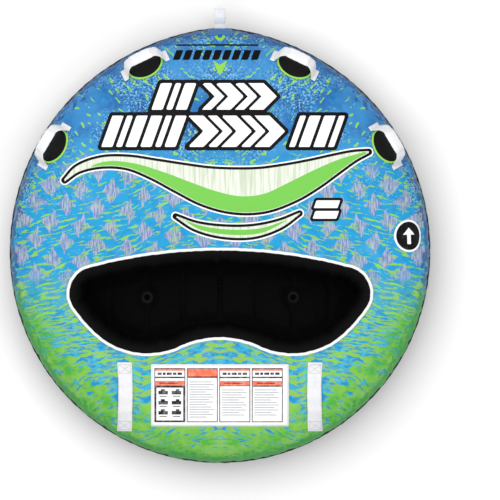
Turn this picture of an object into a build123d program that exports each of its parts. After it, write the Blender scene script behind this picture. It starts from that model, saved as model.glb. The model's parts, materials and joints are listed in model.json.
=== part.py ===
"""Towable water tube for two riders: an inflated bladder in a sewn cover, with webbing handles.

Units are millimetres. X is across the tube, +Y is the tow end and +Z is up.
The flat underside lies on Z = 0 and the origin is at the middle of it.
"""
import os
from math import asin, cos, degrees, hypot, radians, sin, sqrt

from build123d import *

# ---- driving dimensions ----------------------------------------------------
HEIGHT = 320.0                 # inflated thickness
RIM_R = 145.0                  # rounding of the rim, above and below the seam
SEAM_Z = HEIGHT / 2
COVER_T = 1.5                  # coated fabric
BLADDER_GAP = 0.7              # slack between cover and bladder
BLADDER_T = 1.5
BASE_SEAM = 12.0               # the side panel laps this far onto the flat underside
PIPING_PROUD = 4.0             # how far the rim piping stands out of the seam
PIPING_H = 9.0
PIPING_ROUND = 3.2

# half outlines: (radius, outward direction at which the arc ends); None closes on X = 0
HULL_TOP_Y = 727.0
HULL = [(411.5, 79.2), (826.0, 56.4), (752.8, -10.6), (None, -90.0)]
WELL_TOP_Y = -25.0
WELL = [(1719.0, 75.0), (94.0, -36.0), (617.0, -45.6), (263.0, -115.1), (None, -90.0)]

LIP_R = 45.0                   # rolled edge of the well
LINER_IN = 12.0                # the lining's flat edge reaches this far under the piping
FLOOR_T = 20.0
FLOOR_Z = 2.0
FLOOR_ROUND = 8.0
WELL_PIPING_W = 10.0
WELL_PIPING_H = 5.0
WELL_PIPING_ROUND = 3.0

# carry handles on the front rim
HANDLE_ANGLES = {"right_rear": 30.0, "right_front": 67.0,
                 "left_front": 113.0, "left_rear": 150.0}
HANDLE_RADIUS = 650.0
HANDLE_RISE = 50.0
PAD_A = 65.0                   # half length of the knuckle pad, piping included
PAD_B = 50.0
PAD_PIPING_W = 6.5
PAD_T = 4.0
PAD_PIPING_T = 5.4
WEBBING_T = 2.5
STRAP_W = 46.0
STRAP_NECK_W = 36.0
STRAP_ROOT = 70.0              # half distance between the two sewn ends
STRAP_FOOT = 1.2               # height of the strap's middle over its sewn ends
STRAP_RUN = 14.0               # how far the strap leans in as it rises
STRAP_BEND_R = 20.0
STRAP_NECK = (46.0, 60.0)      # where the strap narrows, from its middle
TAB_IN = 66.5
TAB_OUT = 84.0
GRIP_W = 43.0
GRIP_T = 16.0
GRIP_HALF = 40.0
GRIP_SLOT = (0.8, 0.6)         # room round the webbing inside the grip

# rear deck
REAR_STRAP_X = 323.0
REAR_STRAP_W = 50.0
REAR_STRAP_Y = (-641.0, -409.0)
LABEL_X = 233.0
LABEL_Y = (-625.0, -415.0)
BADGE_AT = (642.0, 20.0)
BADGE_R = 55.0
SEWN_CLOTH_T = 1.0             # label and badge

# tow loop at the nose
TOW_W = 38.0
TOW_T = 3.2
TOW_EYE_Y = 779.0
TOW_EYE_R = 16.0
TOW_ROOT_R = 3.0
TOW_HINGE_Y = 736.0
TOW_CREASE = (0.6, 14.0)       # radius and place of the opening's narrow end
TOW_TAIL_HALF_T = 3.0
TOW_TAIL_GAP = (1.3, 4.0)      # reach into the seam, and gap to the loop's pivot
TOW_SLOT_MARGIN = 0.5
TOW_PATCH_HALF_W = 42.0
TOW_PATCH = (8.0, 92.0)        # from the seam, up or down

# valve in the rear wall, below the seam; heights are along the valve's own axis
VALVE_TILT = 35.0
VALVE_HOLE_R = 42.0            # hole in the cover
VALVE_SEAT_R = 38.0            # flange welded to the bladder
VALVE_COLLAR = (27.0, 22.3, -16.0, -1.0)       # outer radius, bore radius, low, high
VALVE_INSERT = (22.0, 17.3, -18.0, -4.5)
VALVE_MEMBRANE = (21.8, -20.0, -18.3)          # radius, low, high
CAP_DISC = (21.9, -4.2, 1.5)
CAP_PLUG = (17.0, -14.0, -4.1)
CAP_GRIP_R = 17.5              # two hollows for the fingers, with a bar between them
CAP_BAR_W = 8.0
CAP_GRIP_LOW = -2.6
FLAP_HALF_W = 60.0
FLAP_UP = 60.0
FLAP_DOWN = -62.0
FLAP_GAP = 5.0
FLAP_T = 1.5
FLAP_STRIP_HALF_W = 45.0
FLAP_STRIP = (4.0, 17.0)       # from the flap's lower edge
FLAP_HEM = (6.0, 17.0)         # above the flap's upper edge

# zipper in the lower rim, rear right
ZIP_INSET = 45.0
ZIP_FROM = -75.0
ZIP_TO = -30.0
ZIP_TAPE_W = 15.0
ZIP_TEETH_W = 7.0
ZIP_SLOT_W = 3.0
ZIP_TAPE_T = 1.2
ZIP_TEETH_T = 2.5
SLIDER_HALF_L = 9.0
SLIDER_HALF_W = 6.2
SLIDER_PLATE = (2.9, 4.9)      # heights above the cover
SLIDER_GUIDE_W = 1.8
SLIDER_LUG_W = 1.6
SLIDER_LUG_AT = 3.4
SLIDER_LUG_HALF_L = 2.2
PIN_Z = 7.4
PIN_R = 0.9
PULL_L = 30.0
PULL_W = 9.0
PULL_T = 1.6
PULL_EYE_R = 2.2
PULL_EYE_W = 6.0
PULL_HOLE = (6.0, 2.0)         # from the free end, and its radius

# drain eyelets through the floor of the well
DRAIN_X = 250.0
DRAIN_Y = -190.0
DRAIN_BARREL_R = 13.0
DRAIN_FLANGE_R = 20.0
DRAIN_FLANGE_T = 2.0
DRAIN_BORE_R = 10.0
DRAIN_GAP = 0.3

CLEAR = 0.1
FAR = 2000.0


# ---- outlines and solids ---------------------------------------------------
def half_arcs(spec, top_y, inset):
    """Tangent arcs from the top of the outline, clockwise, moved inwards by inset."""
    x, y, a = 0.0, top_y, 90.0
    found = []
    for radius, end in spec:
        r = x / cos(radians(a)) if radius is None else radius
        cx = x - r * cos(radians(a))
        cy = y - r * sin(radians(a))
        turn = [radians(v) for v in (a, (a + end) / 2, end)]
        found.append([(cx + (r - inset) * cos(t), cy + (r - inset) * sin(t)) for t in turn])
        x = cx + r * cos(turn[2])
        y = cy + r * sin(turn[2])
        a = end
    return found


def outline(spec, top_y, inset):
    edges = []
    for side in (1, -1):
        for arc in half_arcs(spec, top_y, inset):
            edges.append(ThreePointArc(*[(side * x, y) for x, y in arc]))
    return make_face(edges)


def prism(face, low, high):
    return extrude(Pos(0, 0, low) * face, high - low)


def hull_face(inset):
    return outline(HULL, HULL_TOP_Y, inset + PIPING_PROUD)


def well_face(inset):
    return outline(WELL, WELL_TOP_Y, inset)


def edges_at(solid, z):
    def flat(edge):
        box = edge.bounding_box()
        return abs(box.min.Z - z) < 1e-3 and abs(box.max.Z - z) < 1e-3
    return [e for e in solid.edges() if flat(e)]


def body(inset):
    """The inflated form, moved inwards by inset (outwards if negative)."""
    low, high = inset, HEIGHT - inset
    solid = prism(hull_face(inset), low, high)
    return fillet(edges_at(solid, low) + edges_at(solid, high), RIM_R - inset)


def edges_round(solid, z, hole):
    """The edges at height z that lie within the bounds of a hole's face."""
    room = hole.bounding_box()

    def inside(edge):
        box = edge.bounding_box()
        across = room.min.X - 0.5 < box.min.X and box.max.X < room.max.X + 0.5
        return across and room.min.Y - 0.5 < box.min.Y and box.max.Y < room.max.Y + 0.5
    return [e for e in edges_at(solid, z) if inside(e)]


def pierced(inset):
    """The inflated form with the well through it and its rolled edge."""
    hole = well_face(LIP_R - inset)
    solid = body(inset) - prism(hole, -10, HEIGHT + 10)
    return fillet(edges_round(solid, HEIGHT - inset, hole), LIP_R - inset)


def skin(inner, outer):
    """A layer lying on the cover, from inner to outer above its surface."""
    return body(-outer) - body(-inner)


def rim_frame(x, y):
    """Plane on the upper rim: x_dir along the rim, z_dir straight out of the surface."""
    arcs = half_arcs(HULL, HULL_TOP_Y, 0)
    px, py, a = 0.0, HULL_TOP_Y, 90.0
    for (radius, end), arc in zip(HULL, arcs):
        r = px / cos(radians(a)) if radius is None else radius
        cx = px - r * cos(radians(a))
        cy = py - r * sin(radians(a))
        heading = degrees(asin((y - cy) / hypot(abs(x) - cx, y - cy)))
        if end - 1e-6 <= heading <= a + 1e-6:
            break
        px = cx + r * cos(radians(end))
        py = cy + r * sin(radians(end))
        a = end
    away = r - PIPING_PROUD - hypot(abs(x) - cx, y - cy)
    side = 1 if x >= 0 else -1
    ex, ey = side * cos(radians(heading)), sin(radians(heading))
    lean = (RIM_R - away) / RIM_R if away < RIM_R else 0.0
    rise = sqrt(1 - lean * lean)
    z = HEIGHT - RIM_R + RIM_R * rise
    return Plane(origin=(x, y, z), x_dir=(-ey, ex, 0), z_dir=(ex * lean, ey * lean, rise))


def punch(plane, face, low=-30.0, high=30.0):
    """A prism of a sketch drawn on a plane, through the surface there."""
    return plane * extrude(Pos(0, 0, low) * face, high - low)


def box(x0, x1, y0, y1, z0, z1):
    return Pos((x0 + x1) / 2, (y0 + y1) / 2, (z0 + z1) / 2) * Box(x1 - x0, y1 - y0, z1 - z0)


def rect(x0, x1, y0, y1, corner=0.0):
    face = Rectangle(x1 - x0, y1 - y0)
    if corner:
        face = RectangleRounded(x1 - x0, y1 - y0, corner)
    return Pos((x0 + x1) / 2, (y0 + y1) / 2) * face


parts = {}

# ---- cover, bladder and well -----------------------------------------------
form = body(0)
shell = form - body(COVER_T)
nose_y = HULL_TOP_Y - PIPING_PROUD
slot_x = TOW_W / 2 + TOW_SLOT_MARGIN
slot_z = TOW_TAIL_HALF_T + TOW_SLOT_MARGIN
slot = box(-slot_x, slot_x, nose_y - RIM_R, FAR, SEAM_Z - slot_z, SEAM_Z + slot_z)

top = shell & box(-FAR, FAR, -FAR, FAR, SEAM_Z, FAR)
top = top - prism(well_face(-0.3), SEAM_Z, HEIGHT + 10)
parts["cover_top"] = top - slot
bottom = shell & box(-FAR, FAR, -FAR, FAR, -FAR, SEAM_Z)

# valve frame on the lower rear wall
tilt = radians(VALVE_TILT)
rear_y = half_arcs(HULL, HULL_TOP_Y, PIPING_PROUD)[-1][2][1]
valve_at = Plane(origin=(0, rear_y + RIM_R - RIM_R * cos(tilt), RIM_R - RIM_R * sin(tilt)),
                 x_dir=(1, 0, 0), z_dir=(0, -cos(tilt), -sin(tilt)))
bottom = bottom - punch(valve_at, Circle(VALVE_HOLE_R))
bottom = bottom - slot

# zipper ring about the upright axis of the rear rim
rear_arc = half_arcs(HULL, HULL_TOP_Y, 0)[-1]
rear_r = rear_arc[0][0] / cos(radians(HULL[2][1]))
pivot_y = rear_arc[2][1] + rear_r
zip_r = rear_r - PIPING_PROUD - ZIP_INSET
zip_lean = asin((RIM_R - ZIP_INSET) / RIM_R)
zip_z = RIM_R - RIM_R * cos(zip_lean)


def rim_band(wide, inner, outer, start, end):
    """A strip along the zipper line, lying on the lower rim, as a turned solid."""
    turn = degrees(zip_lean)
    half = degrees(wide / 2 / RIM_R)
    return rim_strip(turn - half, turn + half, inner, outer, start, end)


def rim_strip(turn0, turn1, inner, outer, start, end):
    """A turned strip between two lean angles of the lower rim, in degrees from straight down."""
    def at(turn, out):
        r = RIM_R + out
        return (rear_r - PIPING_PROUD - RIM_R + r * sin(radians(turn)), RIM_R - r * cos(radians(turn)))
    mid = (turn0 + turn1) / 2
    edges = [
        ThreePointArc(at(turn0, inner), at(mid, inner), at(turn1, inner)),
        Line(at(turn1, inner), at(turn1, outer)),
        ThreePointArc(at(turn1, outer), at(mid, outer), at(turn0, outer)),
        Line(at(turn0, outer), at(turn0, inner)),
    ]
    face = Plane.XZ * make_face(edges)
    turned = revolve(face, Axis.Z, end - start)
    return Pos(0, pivot_y, 0) * (Rot(0, 0, start) * turned)


bottom = bottom - rim_band(ZIP_SLOT_W, -COVER_T - 1, 1, ZIP_FROM + 1, ZIP_TO - 1)
for side in (-1, 1):
    bottom = bottom - Pos(side * DRAIN_X, DRAIN_Y, 0) * Cylinder(DRAIN_BARREL_R + DRAIN_GAP, 20)
base_plan = prism(hull_face(RIM_R + BASE_SEAM), -FAR, SEAM_Z)
parts["cover_side"] = bottom - base_plan
parts["cover_bottom"] = bottom & base_plan

piping = prism(hull_face(-PIPING_PROUD), SEAM_Z - PIPING_H / 2, SEAM_Z + PIPING_H / 2)
piping = fillet(edges_at(piping, SEAM_Z - PIPING_H / 2) + edges_at(piping, SEAM_Z + PIPING_H / 2),
                PIPING_ROUND)
piping = piping - prism(hull_face(-0.2), 0, HEIGHT)
parts["rim_piping"] = piping - slot

outer_bladder = COVER_T + BLADDER_GAP
bladder = pierced(outer_bladder) - pierced(outer_bladder + BLADDER_T)
parts["bladder"] = bladder - punch(valve_at, Circle(VALVE_COLLAR[0] + 0.3), -30, 5)


def lip(wall, high, outer):
    """A ring from the well wall out to the deck, with the rolled edge."""
    hole = well_face(wall)
    ring = prism(well_face(outer), FLOOR_Z - 0.3, high) - prism(hole, FLOOR_Z - 0.3, high)
    return fillet(edges_round(ring, high, hole), LIP_R - (HEIGHT - high))


liner = lip(LIP_R, HEIGHT, -LINER_IN)
liner = liner - lip(LIP_R - COVER_T, HEIGHT - COVER_T, -LINER_IN - 2)
parts["cockpit_liner"] = liner & prism(well_face(0), FLOOR_Z - 1, HEIGHT + 1)

floor_pad = prism(well_face(LIP_R + 0.3), FLOOR_Z, FLOOR_Z + FLOOR_T)
floor_pad = fillet(edges_at(floor_pad, FLOOR_Z + FLOOR_T), FLOOR_ROUND)
pad_top = FLOOR_Z + FLOOR_T
for side, name in ((-1, "drain_eyelet_left"), (1, "drain_eyelet_right")):
    drain_at = Pos(side * DRAIN_X, DRAIN_Y, 0)
    floor_pad = floor_pad - drain_at * Cylinder(DRAIN_BARREL_R + DRAIN_GAP, 100)
    barrel = prism(Circle(DRAIN_BARREL_R), 0, pad_top + 0.4)
    flange = prism(Circle(DRAIN_FLANGE_R), pad_top + 0.2, pad_top + 0.2 + DRAIN_FLANGE_T)
    parts[name] = drain_at * (barrel + flange - prism(Circle(DRAIN_BORE_R), -1, pad_top + 10))
parts["cockpit_floor"] = floor_pad

half_w = WELL_PIPING_W / 2
ring = prism(well_face(-half_w), HEIGHT, HEIGHT + WELL_PIPING_H)
ring = ring - prism(well_face(half_w), HEIGHT - 1, HEIGHT + WELL_PIPING_H + 1)
ring = fillet(edges_at(ring, HEIGHT + WELL_PIPING_H), WELL_PIPING_ROUND)
parts["cockpit_piping"] = ring

# ---- layers on the deck ----------------------------------------------------
upper = box(-FAR, FAR, -FAR, FAR, SEAM_Z + 6, FAR)
lower = box(-FAR, FAR, -FAR, FAR, -FAR, SEAM_Z - 6)
web_all = skin(CLEAR, CLEAR + WEBBING_T)
web_skin = web_all & upper
pad_skin = skin(CLEAR, CLEAR + PAD_T) & upper
pad_piping_skin = skin(CLEAR, CLEAR + PAD_PIPING_T) & upper
print_skin = skin(CLEAR, CLEAR + SEWN_CLOTH_T) & upper

label = prism(rect(-LABEL_X, LABEL_X, *LABEL_Y, corner=8), SEAM_Z, HEIGHT + 20)
parts["label_panel"] = print_skin & label
badge_at = rim_frame(*BADGE_AT)
parts["side_badge"] = print_skin & punch(badge_at, Circle(BADGE_R))
for side, name in ((-1, "rear_strap_left"), (1, "rear_strap_right")):
    x = side * REAR_STRAP_X
    plan = rect(x - REAR_STRAP_W / 2, x + REAR_STRAP_W / 2, *REAR_STRAP_Y, corner=4)
    parts[name] = web_skin & prism(plan, SEAM_Z, HEIGHT + 20)

# ---- carry handles ---------------------------------------------------------
arch = FilletPolyline(
    (-STRAP_ROOT, STRAP_FOOT), (-STRAP_ROOT + STRAP_RUN, HANDLE_RISE),
    (STRAP_ROOT - STRAP_RUN, HANDLE_RISE), (STRAP_ROOT, STRAP_FOOT), radius=STRAP_BEND_R)
arch_face = Plane.XZ * trace(arch, line_width=WEBBING_T)
strap_solid = extrude(arch_face, STRAP_W / 2, both=True)
w, n = STRAP_W / 2 + 1, STRAP_NECK_W / 2
end_x = STRAP_ROOT + 20
near_x, far_x = STRAP_NECK
edge = [(-end_x, w), (-far_x, w), (-near_x, n), (near_x, n), (far_x, w), (end_x, w)]
plan = Polyline(*[(px, -py) for px, py in edge], *edge[::-1], close=True)
strap_solid = strap_solid & extrude(make_face(plan), HANDLE_RISE + 30)

grip_face = Plane.YZ * (Pos(0, HANDLE_RISE) * (
    Ellipse(GRIP_W / 2, GRIP_T / 2)
    - Rectangle(STRAP_NECK_W + GRIP_SLOT[0], WEBBING_T + GRIP_SLOT[1])))
grip_solid = extrude(grip_face, GRIP_HALF, both=True)

pad_sketch = Ellipse(PAD_A - PAD_PIPING_W - 0.2, PAD_B - PAD_PIPING_W - 0.2)
pad_ring = Ellipse(PAD_A, PAD_B) - Ellipse(PAD_A - PAD_PIPING_W, PAD_B - PAD_PIPING_W)
for name, angle in HANDLE_ANGLES.items():
    at = rim_frame(HANDLE_RADIUS * cos(radians(angle)), HANDLE_RADIUS * sin(radians(angle)))
    parts[f"knuckle_pad_{name}"] = pad_skin & punch(at, pad_sketch)
    parts[f"knuckle_piping_{name}"] = pad_piping_skin & punch(at, pad_ring)
    for end, letter in ((-1, "a"), (1, "b")):
        x0, x1 = sorted((end * TAB_IN, end * TAB_OUT))
        tab = rect(x0, x1, -STRAP_W / 2 - 1, STRAP_W / 2 + 1, corner=2)
        parts[f"handle_tab_{name}_{letter}"] = web_skin & punch(at, tab)
    parts[f"handle_strap_{name}"] = at * strap_solid
    parts[f"handle_grip_{name}"] = at * grip_solid

# ---- tow loop --------------------------------------------------------------
for side, name in ((1, "tow_patch_top"), (-1, "tow_patch_bottom")):
    z0, z1 = sorted(SEAM_Z + side * v for v in TOW_PATCH)
    parts[name] = web_all & box(-TOW_PATCH_HALF_W, TOW_PATCH_HALF_W, 0, FAR, z0, z1)
tail_y = (nose_y - TOW_TAIL_GAP[0], TOW_HINGE_Y - TOW_TAIL_GAP[1])
parts["tow_tail"] = box(-TOW_W / 2, TOW_W / 2, *tail_y,
                        SEAM_Z - TOW_TAIL_HALF_T, SEAM_Z + TOW_TAIL_HALF_T)


def teardrop(big, small, big_y, small_y):
    """Two circles joined by their outer tangents, in the YZ plane."""
    lean = asin((big - small) / (big_y - small_y))
    cb, sb = cos(lean), sin(lean)
    upper_big = (big_y - big * sb, big * cb)
    upper_small = (small_y - small * sb, small * cb)
    edges = [
        Line(upper_small, upper_big),
        ThreePointArc(upper_big, (big_y + big, 0), (upper_big[0], -upper_big[1])),
        Line((upper_big[0], -upper_big[1]), (upper_small[0], -upper_small[1])),
        ThreePointArc((upper_small[0], -upper_small[1]), (small_y - small, 0), upper_small),
    ]
    return make_face(edges)


eye_r = TOW_EYE_R - TOW_T
drop = teardrop(TOW_EYE_R, TOW_ROOT_R, TOW_EYE_Y, TOW_HINGE_Y)
crease_r, crease_in = TOW_CREASE
drop = drop - teardrop(eye_r, crease_r, TOW_EYE_Y, TOW_HINGE_Y + crease_in)
loop = extrude(Plane.YZ * drop, TOW_W / 2, both=True)
parts["tow_loop"] = Pos(0, 0, SEAM_Z) * loop

# ---- valve, with its cap and flap ------------------------------------------


def valve_ring(outer_r, bore_r, low, high):
    return punch(valve_at, Circle(outer_r) - Circle(bore_r), low, high)


seat = (body(0.3) - body(outer_bladder - 0.1)) & punch(valve_at, Circle(VALVE_SEAT_R))
collar_r, bore_r, collar_low, collar_high = VALVE_COLLAR
collar = punch(valve_at, Circle(collar_r), collar_low, collar_high)
parts["valve_base"] = (seat + collar) - punch(valve_at, Circle(bore_r))
parts["valve_insert"] = valve_ring(*VALVE_INSERT)
membrane_r, membrane_low, membrane_high = VALVE_MEMBRANE
parts["valve_membrane"] = punch(valve_at, Circle(membrane_r), membrane_low, membrane_high)
disc_r, disc_low, disc_high = CAP_DISC
plug_r, plug_low, plug_high = CAP_PLUG
cap = punch(valve_at, Circle(disc_r), disc_low, disc_high)
cap = cap + punch(valve_at, Circle(plug_r), plug_low, plug_high)
fingers = Circle(CAP_GRIP_R) - Rectangle(60, CAP_BAR_W)
parts["valve_cap"] = cap - punch(valve_at, fingers, CAP_GRIP_LOW, 5)

flap_skin = (body(-FLAP_GAP - FLAP_T) - body(-FLAP_GAP)) & lower
flap_plan = rect(-FLAP_HALF_W, FLAP_HALF_W, FLAP_DOWN, FLAP_UP, corner=10)
parts["valve_flap"] = flap_skin & punch(valve_at, flap_plan)
strip_low, strip_high = [FLAP_DOWN + v for v in FLAP_STRIP]
strip_plan = rect(-FLAP_STRIP_HALF_W, FLAP_STRIP_HALF_W, strip_low, strip_high, corner=2)
parts["flap_hook_strip"] = web_all & lower & punch(valve_at, strip_plan)
loop_skin = (body(-FLAP_GAP + 0.1) - body(-CLEAR - WEBBING_T - 0.2)) & lower
parts["flap_loop_strip"] = loop_skin & punch(valve_at, strip_plan)
hem_low, hem_high = [FLAP_UP + v for v in FLAP_HEM]
hem_plan = rect(-FLAP_HALF_W, FLAP_HALF_W, hem_low, hem_high, corner=2)
parts["flap_hem"] = web_all & lower & punch(valve_at, hem_plan)

# ---- zipper ----------------------------------------------------------------
lean_deg = degrees(zip_lean)
tape_in = degrees((ZIP_TEETH_W / 2 + 0.3) / RIM_R)
tape_out = degrees((ZIP_TEETH_W / 2 + ZIP_TAPE_W) / RIM_R)
zip_span = (ZIP_FROM, ZIP_TO)
parts["zip_tape_lower"] = rim_strip(
    lean_deg - tape_out, lean_deg - tape_in, CLEAR, ZIP_TAPE_T, *zip_span)
parts["zip_tape_upper"] = rim_strip(
    lean_deg + tape_in, lean_deg + tape_out, CLEAR, ZIP_TAPE_T, *zip_span)
parts["zip_teeth"] = rim_band(ZIP_TEETH_W, CLEAR, ZIP_TEETH_T, ZIP_FROM + 1, ZIP_TO - 1)

slide_turn = radians(ZIP_TO - 3.5)
out = (cos(slide_turn), sin(slide_turn))
slider_at = Plane(
    origin=(zip_r * out[0], pivot_y + zip_r * out[1], zip_z),
    x_dir=(-out[1], out[0], 0),
    z_dir=(out[0] * sin(zip_lean), out[1] * sin(zip_lean), -cos(zip_lean)))
plate_low, plate_high = SLIDER_PLATE
slider = box(-SLIDER_HALF_L, SLIDER_HALF_L, -SLIDER_HALF_W, SLIDER_HALF_W, plate_low, plate_high)
for side in (-1, 1):
    y0, y1 = sorted((side * (SLIDER_HALF_W - SLIDER_GUIDE_W), side * SLIDER_HALF_W))
    slider = slider + box(-SLIDER_HALF_L, SLIDER_HALF_L, y0, y1, ZIP_TAPE_T + 0.5, plate_low + 0.6)
    y0, y1 = sorted((side * SLIDER_LUG_AT, side * (SLIDER_LUG_AT + SLIDER_LUG_W)))
    slider = slider + box(-SLIDER_LUG_HALF_L, SLIDER_LUG_HALF_L, y0, y1,
                          plate_high - 0.4, PIN_Z + 1.6)
across = Pos(0, 0, PIN_Z) * Rot(90, 0, 0)
parts["zip_slider"] = slider_at * (slider + across * Cylinder(PIN_R, 8))
hole_in, hole_r = PULL_HOLE
tab_face = rect(-PULL_L, -1, -PULL_W / 2, PULL_W / 2, corner=1.5)
tab_face = tab_face - Pos(hole_in - PULL_L, 0) * Circle(hole_r)
tab = extrude(Pos(0, 0, PIN_Z - PULL_T / 2) * tab_face, PULL_T)
for side in (-1, 1):
    y0, y1 = sorted((side * PULL_EYE_W / 2, side * PULL_EYE_W))
    tab = tab - box(-4, 3, y0, y1, 0, 20)
eye = across * (Cylinder(PULL_EYE_R, PULL_EYE_W) - Cylinder(PIN_R + 0.3, 20))
parts["zip_pull"] = slider_at * (tab - across * Cylinder(PULL_EYE_R - 0.2, 20) + eye)

# ---- files -----------------------------------------------------------------
os.makedirs("parts", exist_ok=True)
for name, shape in parts.items():
    export_step(shape, f"parts/{name}.step")
    print(name, len(shape.solids()), round(shape.volume))
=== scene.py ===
"""A towable tube's cloth cover, webbing, print and fittings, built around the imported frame."""
import functools
import json
import math

import bmesh
import bpy
import numpy as np
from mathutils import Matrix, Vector
from mathutils.bvhtree import BVHTree


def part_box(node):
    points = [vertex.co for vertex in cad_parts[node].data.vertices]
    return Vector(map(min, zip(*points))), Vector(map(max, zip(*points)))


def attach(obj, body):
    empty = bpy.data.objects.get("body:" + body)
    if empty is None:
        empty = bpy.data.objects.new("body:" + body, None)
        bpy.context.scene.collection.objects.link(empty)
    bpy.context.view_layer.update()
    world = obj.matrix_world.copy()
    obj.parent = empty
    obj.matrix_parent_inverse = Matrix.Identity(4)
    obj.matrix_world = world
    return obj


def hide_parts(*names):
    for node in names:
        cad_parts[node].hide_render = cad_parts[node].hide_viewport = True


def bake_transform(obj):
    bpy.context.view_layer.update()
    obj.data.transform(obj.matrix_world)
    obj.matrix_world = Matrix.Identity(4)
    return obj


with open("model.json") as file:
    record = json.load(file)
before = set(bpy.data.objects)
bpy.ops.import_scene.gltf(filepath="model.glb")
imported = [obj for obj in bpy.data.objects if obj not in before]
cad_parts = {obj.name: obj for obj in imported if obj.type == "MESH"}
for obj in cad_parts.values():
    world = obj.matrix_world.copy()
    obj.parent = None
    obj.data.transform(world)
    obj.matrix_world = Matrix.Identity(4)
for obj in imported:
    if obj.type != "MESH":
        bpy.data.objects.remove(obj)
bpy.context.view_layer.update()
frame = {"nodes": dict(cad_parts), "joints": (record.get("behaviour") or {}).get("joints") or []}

NODES = frame["nodes"]
MM = 0.001
DOWN = np.array([0, 0, -1.0])

# ---- the tube's driving dimensions, as in the CAD, in metres ----------------
HEIGHT = 0.320
SEAM_Z = HEIGHT / 2
RIM_R = 0.145
PIPING_PROUD = 0.004
LIP_R = 0.045
FLOOR_TOP = 0.022
HULL_TOP_Y = 0.727
HULL_SPEC = [(0.4115, 79.2), (0.8260, 56.4), (0.7528, -10.6), (None, -90.0)]
WELL_TOP_Y = -0.025
WELL_SPEC = [(1.719, 75.0), (0.094, -36.0), (0.617, -45.6), (0.263, -115.1), (None, -90.0)]
HANDLES = {"right_rear": 30.0, "right_front": 67.0, "left_front": 113.0, "left_rear": 150.0}
HANDLE_RISE = 0.050
NOSE_Y = HULL_TOP_Y - PIPING_PROUD

# ---- cloth and thread -------------------------------------------------------
AROUND = 720            # points round the cover
COVER_T = 0.0015
SHEET_LOW = 0.0003      # the under side of a piece that is sewn onto the cover
SEAM_LIFT = 0.0002      # stitches stand this far off their cloth
GREY, WHITE, BLACK = "thread_grey", "thread_white", "thread_black"


def joint(name):
    return next(j for j in frame["joints"] if j["name"] == name)


def unit(v):
    """Vectors scaled to length 1."""
    return v / np.maximum(np.linalg.norm(v, axis=-1, keepdims=True), 1e-12)


def raised(plan, z):
    """Points of a plan, all at the height z."""
    return np.concatenate([plan, np.full((len(plan), 1), z)], 1)


def looped(points):
    """A loop of points with its first one repeated at the end."""
    return np.concatenate([points, points[:1]])


def smooth(low, high, v):
    """0 at low and 1 at high, eased at both ends."""
    t = np.clip((v - low) / (high - low), 0, 1)
    return t * t * (3 - 2 * t)


def waves(u, lengths, seed):
    """A repeatable wobble along u, between about -1 and 1, of several wavelengths."""
    rng = np.random.default_rng(seed)
    total = np.zeros(np.shape(u))
    for length in lengths:
        phase = rng.uniform(0, 2 * math.pi)
        total = total + np.sin(2 * math.pi * u / length + phase)
    return total / len(lengths) ** 0.5


def curve(knots, count):
    """count points along a Catmull-Rom curve through the knots."""
    knots = np.array(knots)
    t = np.linspace(0, len(knots) - 1, count)
    i = np.clip(np.floor(t).astype(int), 0, len(knots) - 2)
    f = (t - i)[:, None]
    padded = np.concatenate([[2 * knots[0] - knots[1]], knots, [2 * knots[-1] - knots[-2]]])
    a, b, c, d = (padded[i + k] for k in range(4))
    return 0.5 * (2 * b + (c - a) * f + (2 * a - 5 * b + 4 * c - d) * f ** 2
                  + (3 * b - a - 3 * c + d) * f ** 3)


# ---- outlines ---------------------------------------------------------------
class Outline:
    """A left-right symmetric outline of tangent arcs, walked clockwise from its top."""

    def __init__(self, spec, top_y, inset=0.0):
        self.arcs = []
        x, y, a = 0.0, top_y, 90.0
        for radius, end in spec:
            r = x / math.cos(math.radians(a)) if radius is None else radius
            cx = x - r * math.cos(math.radians(a))
            cy = y - r * math.sin(math.radians(a))
            self.arcs.append((cx, cy, r - inset, math.radians(a), math.radians(end)))
            x = cx + r * math.cos(math.radians(end))
            y = cy + r * math.sin(math.radians(end))
            a = end
        lengths = [abs(r * (a1 - a0)) for _, _, r, a0, a1 in self.arcs]
        self.ends = np.concatenate([[0], np.cumsum(lengths)])

    def at(self, share):
        """Points and outward normals at shares 0..1 of the right half's length."""
        s = np.clip(np.asarray(share, float), 0, 1) * self.ends[-1]
        k = np.clip(np.searchsorted(self.ends, s, side="right") - 1, 0, len(self.arcs) - 1)
        arcs = np.array(self.arcs)[k]
        t = (s - self.ends[k]) / (self.ends[k + 1] - self.ends[k])
        a = arcs[:, 3] + t * (arcs[:, 4] - arcs[:, 3])
        n = np.stack([np.cos(a), np.sin(a)], 1)
        return arcs[:, :2] + n * arcs[:, 2:3], n

    def loop(self, count, shares=None):
        """count points and normals round the whole outline; shares warps the spacing."""
        half = count // 2
        share = np.linspace(0, 1, half + 1)
        if shares is not None:
            share = np.interp(share, *shares)
        p, n = self.at(share)
        flip = np.array([-1.0, 1.0])
        return (np.concatenate([p, p[half - 1:0:-1] * flip]),
                np.concatenate([n, n[half - 1:0:-1] * flip]))

    def depth(self, x, y):
        """How far inside the outline each point is; negative outside."""
        x = np.abs(x)
        best = np.full(np.shape(x), np.inf)
        for cx, cy, r, a0, a1 in self.arcs:
            bulge = 1 if r > 0 else -1  # -1 where the outline is hollow
            dx, dy = (x - cx) * bulge, (y - cy) * bulge
            turn = np.arctan2(dy, dx)
            turn = np.where(turn > math.pi / 2 + 1e-9, turn - 2 * math.pi, turn)
            inward = r - bulge * np.hypot(dx, dy)
            hit = (turn >= min(a0, a1) - 1e-6) & (turn <= max(a0, a1) + 1e-6)
            best = np.where(hit & (np.abs(inward) < np.abs(best)), inward, best)
        return np.where(np.isinf(best), 0.5, best)


HULL = Outline(HULL_SPEC, HULL_TOP_Y, PIPING_PROUD)
WELL = Outline(WELL_SPEC, WELL_TOP_Y)
WELL_SHARES = ([0, 0.57, 1], [0, 0.45, 1])


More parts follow.
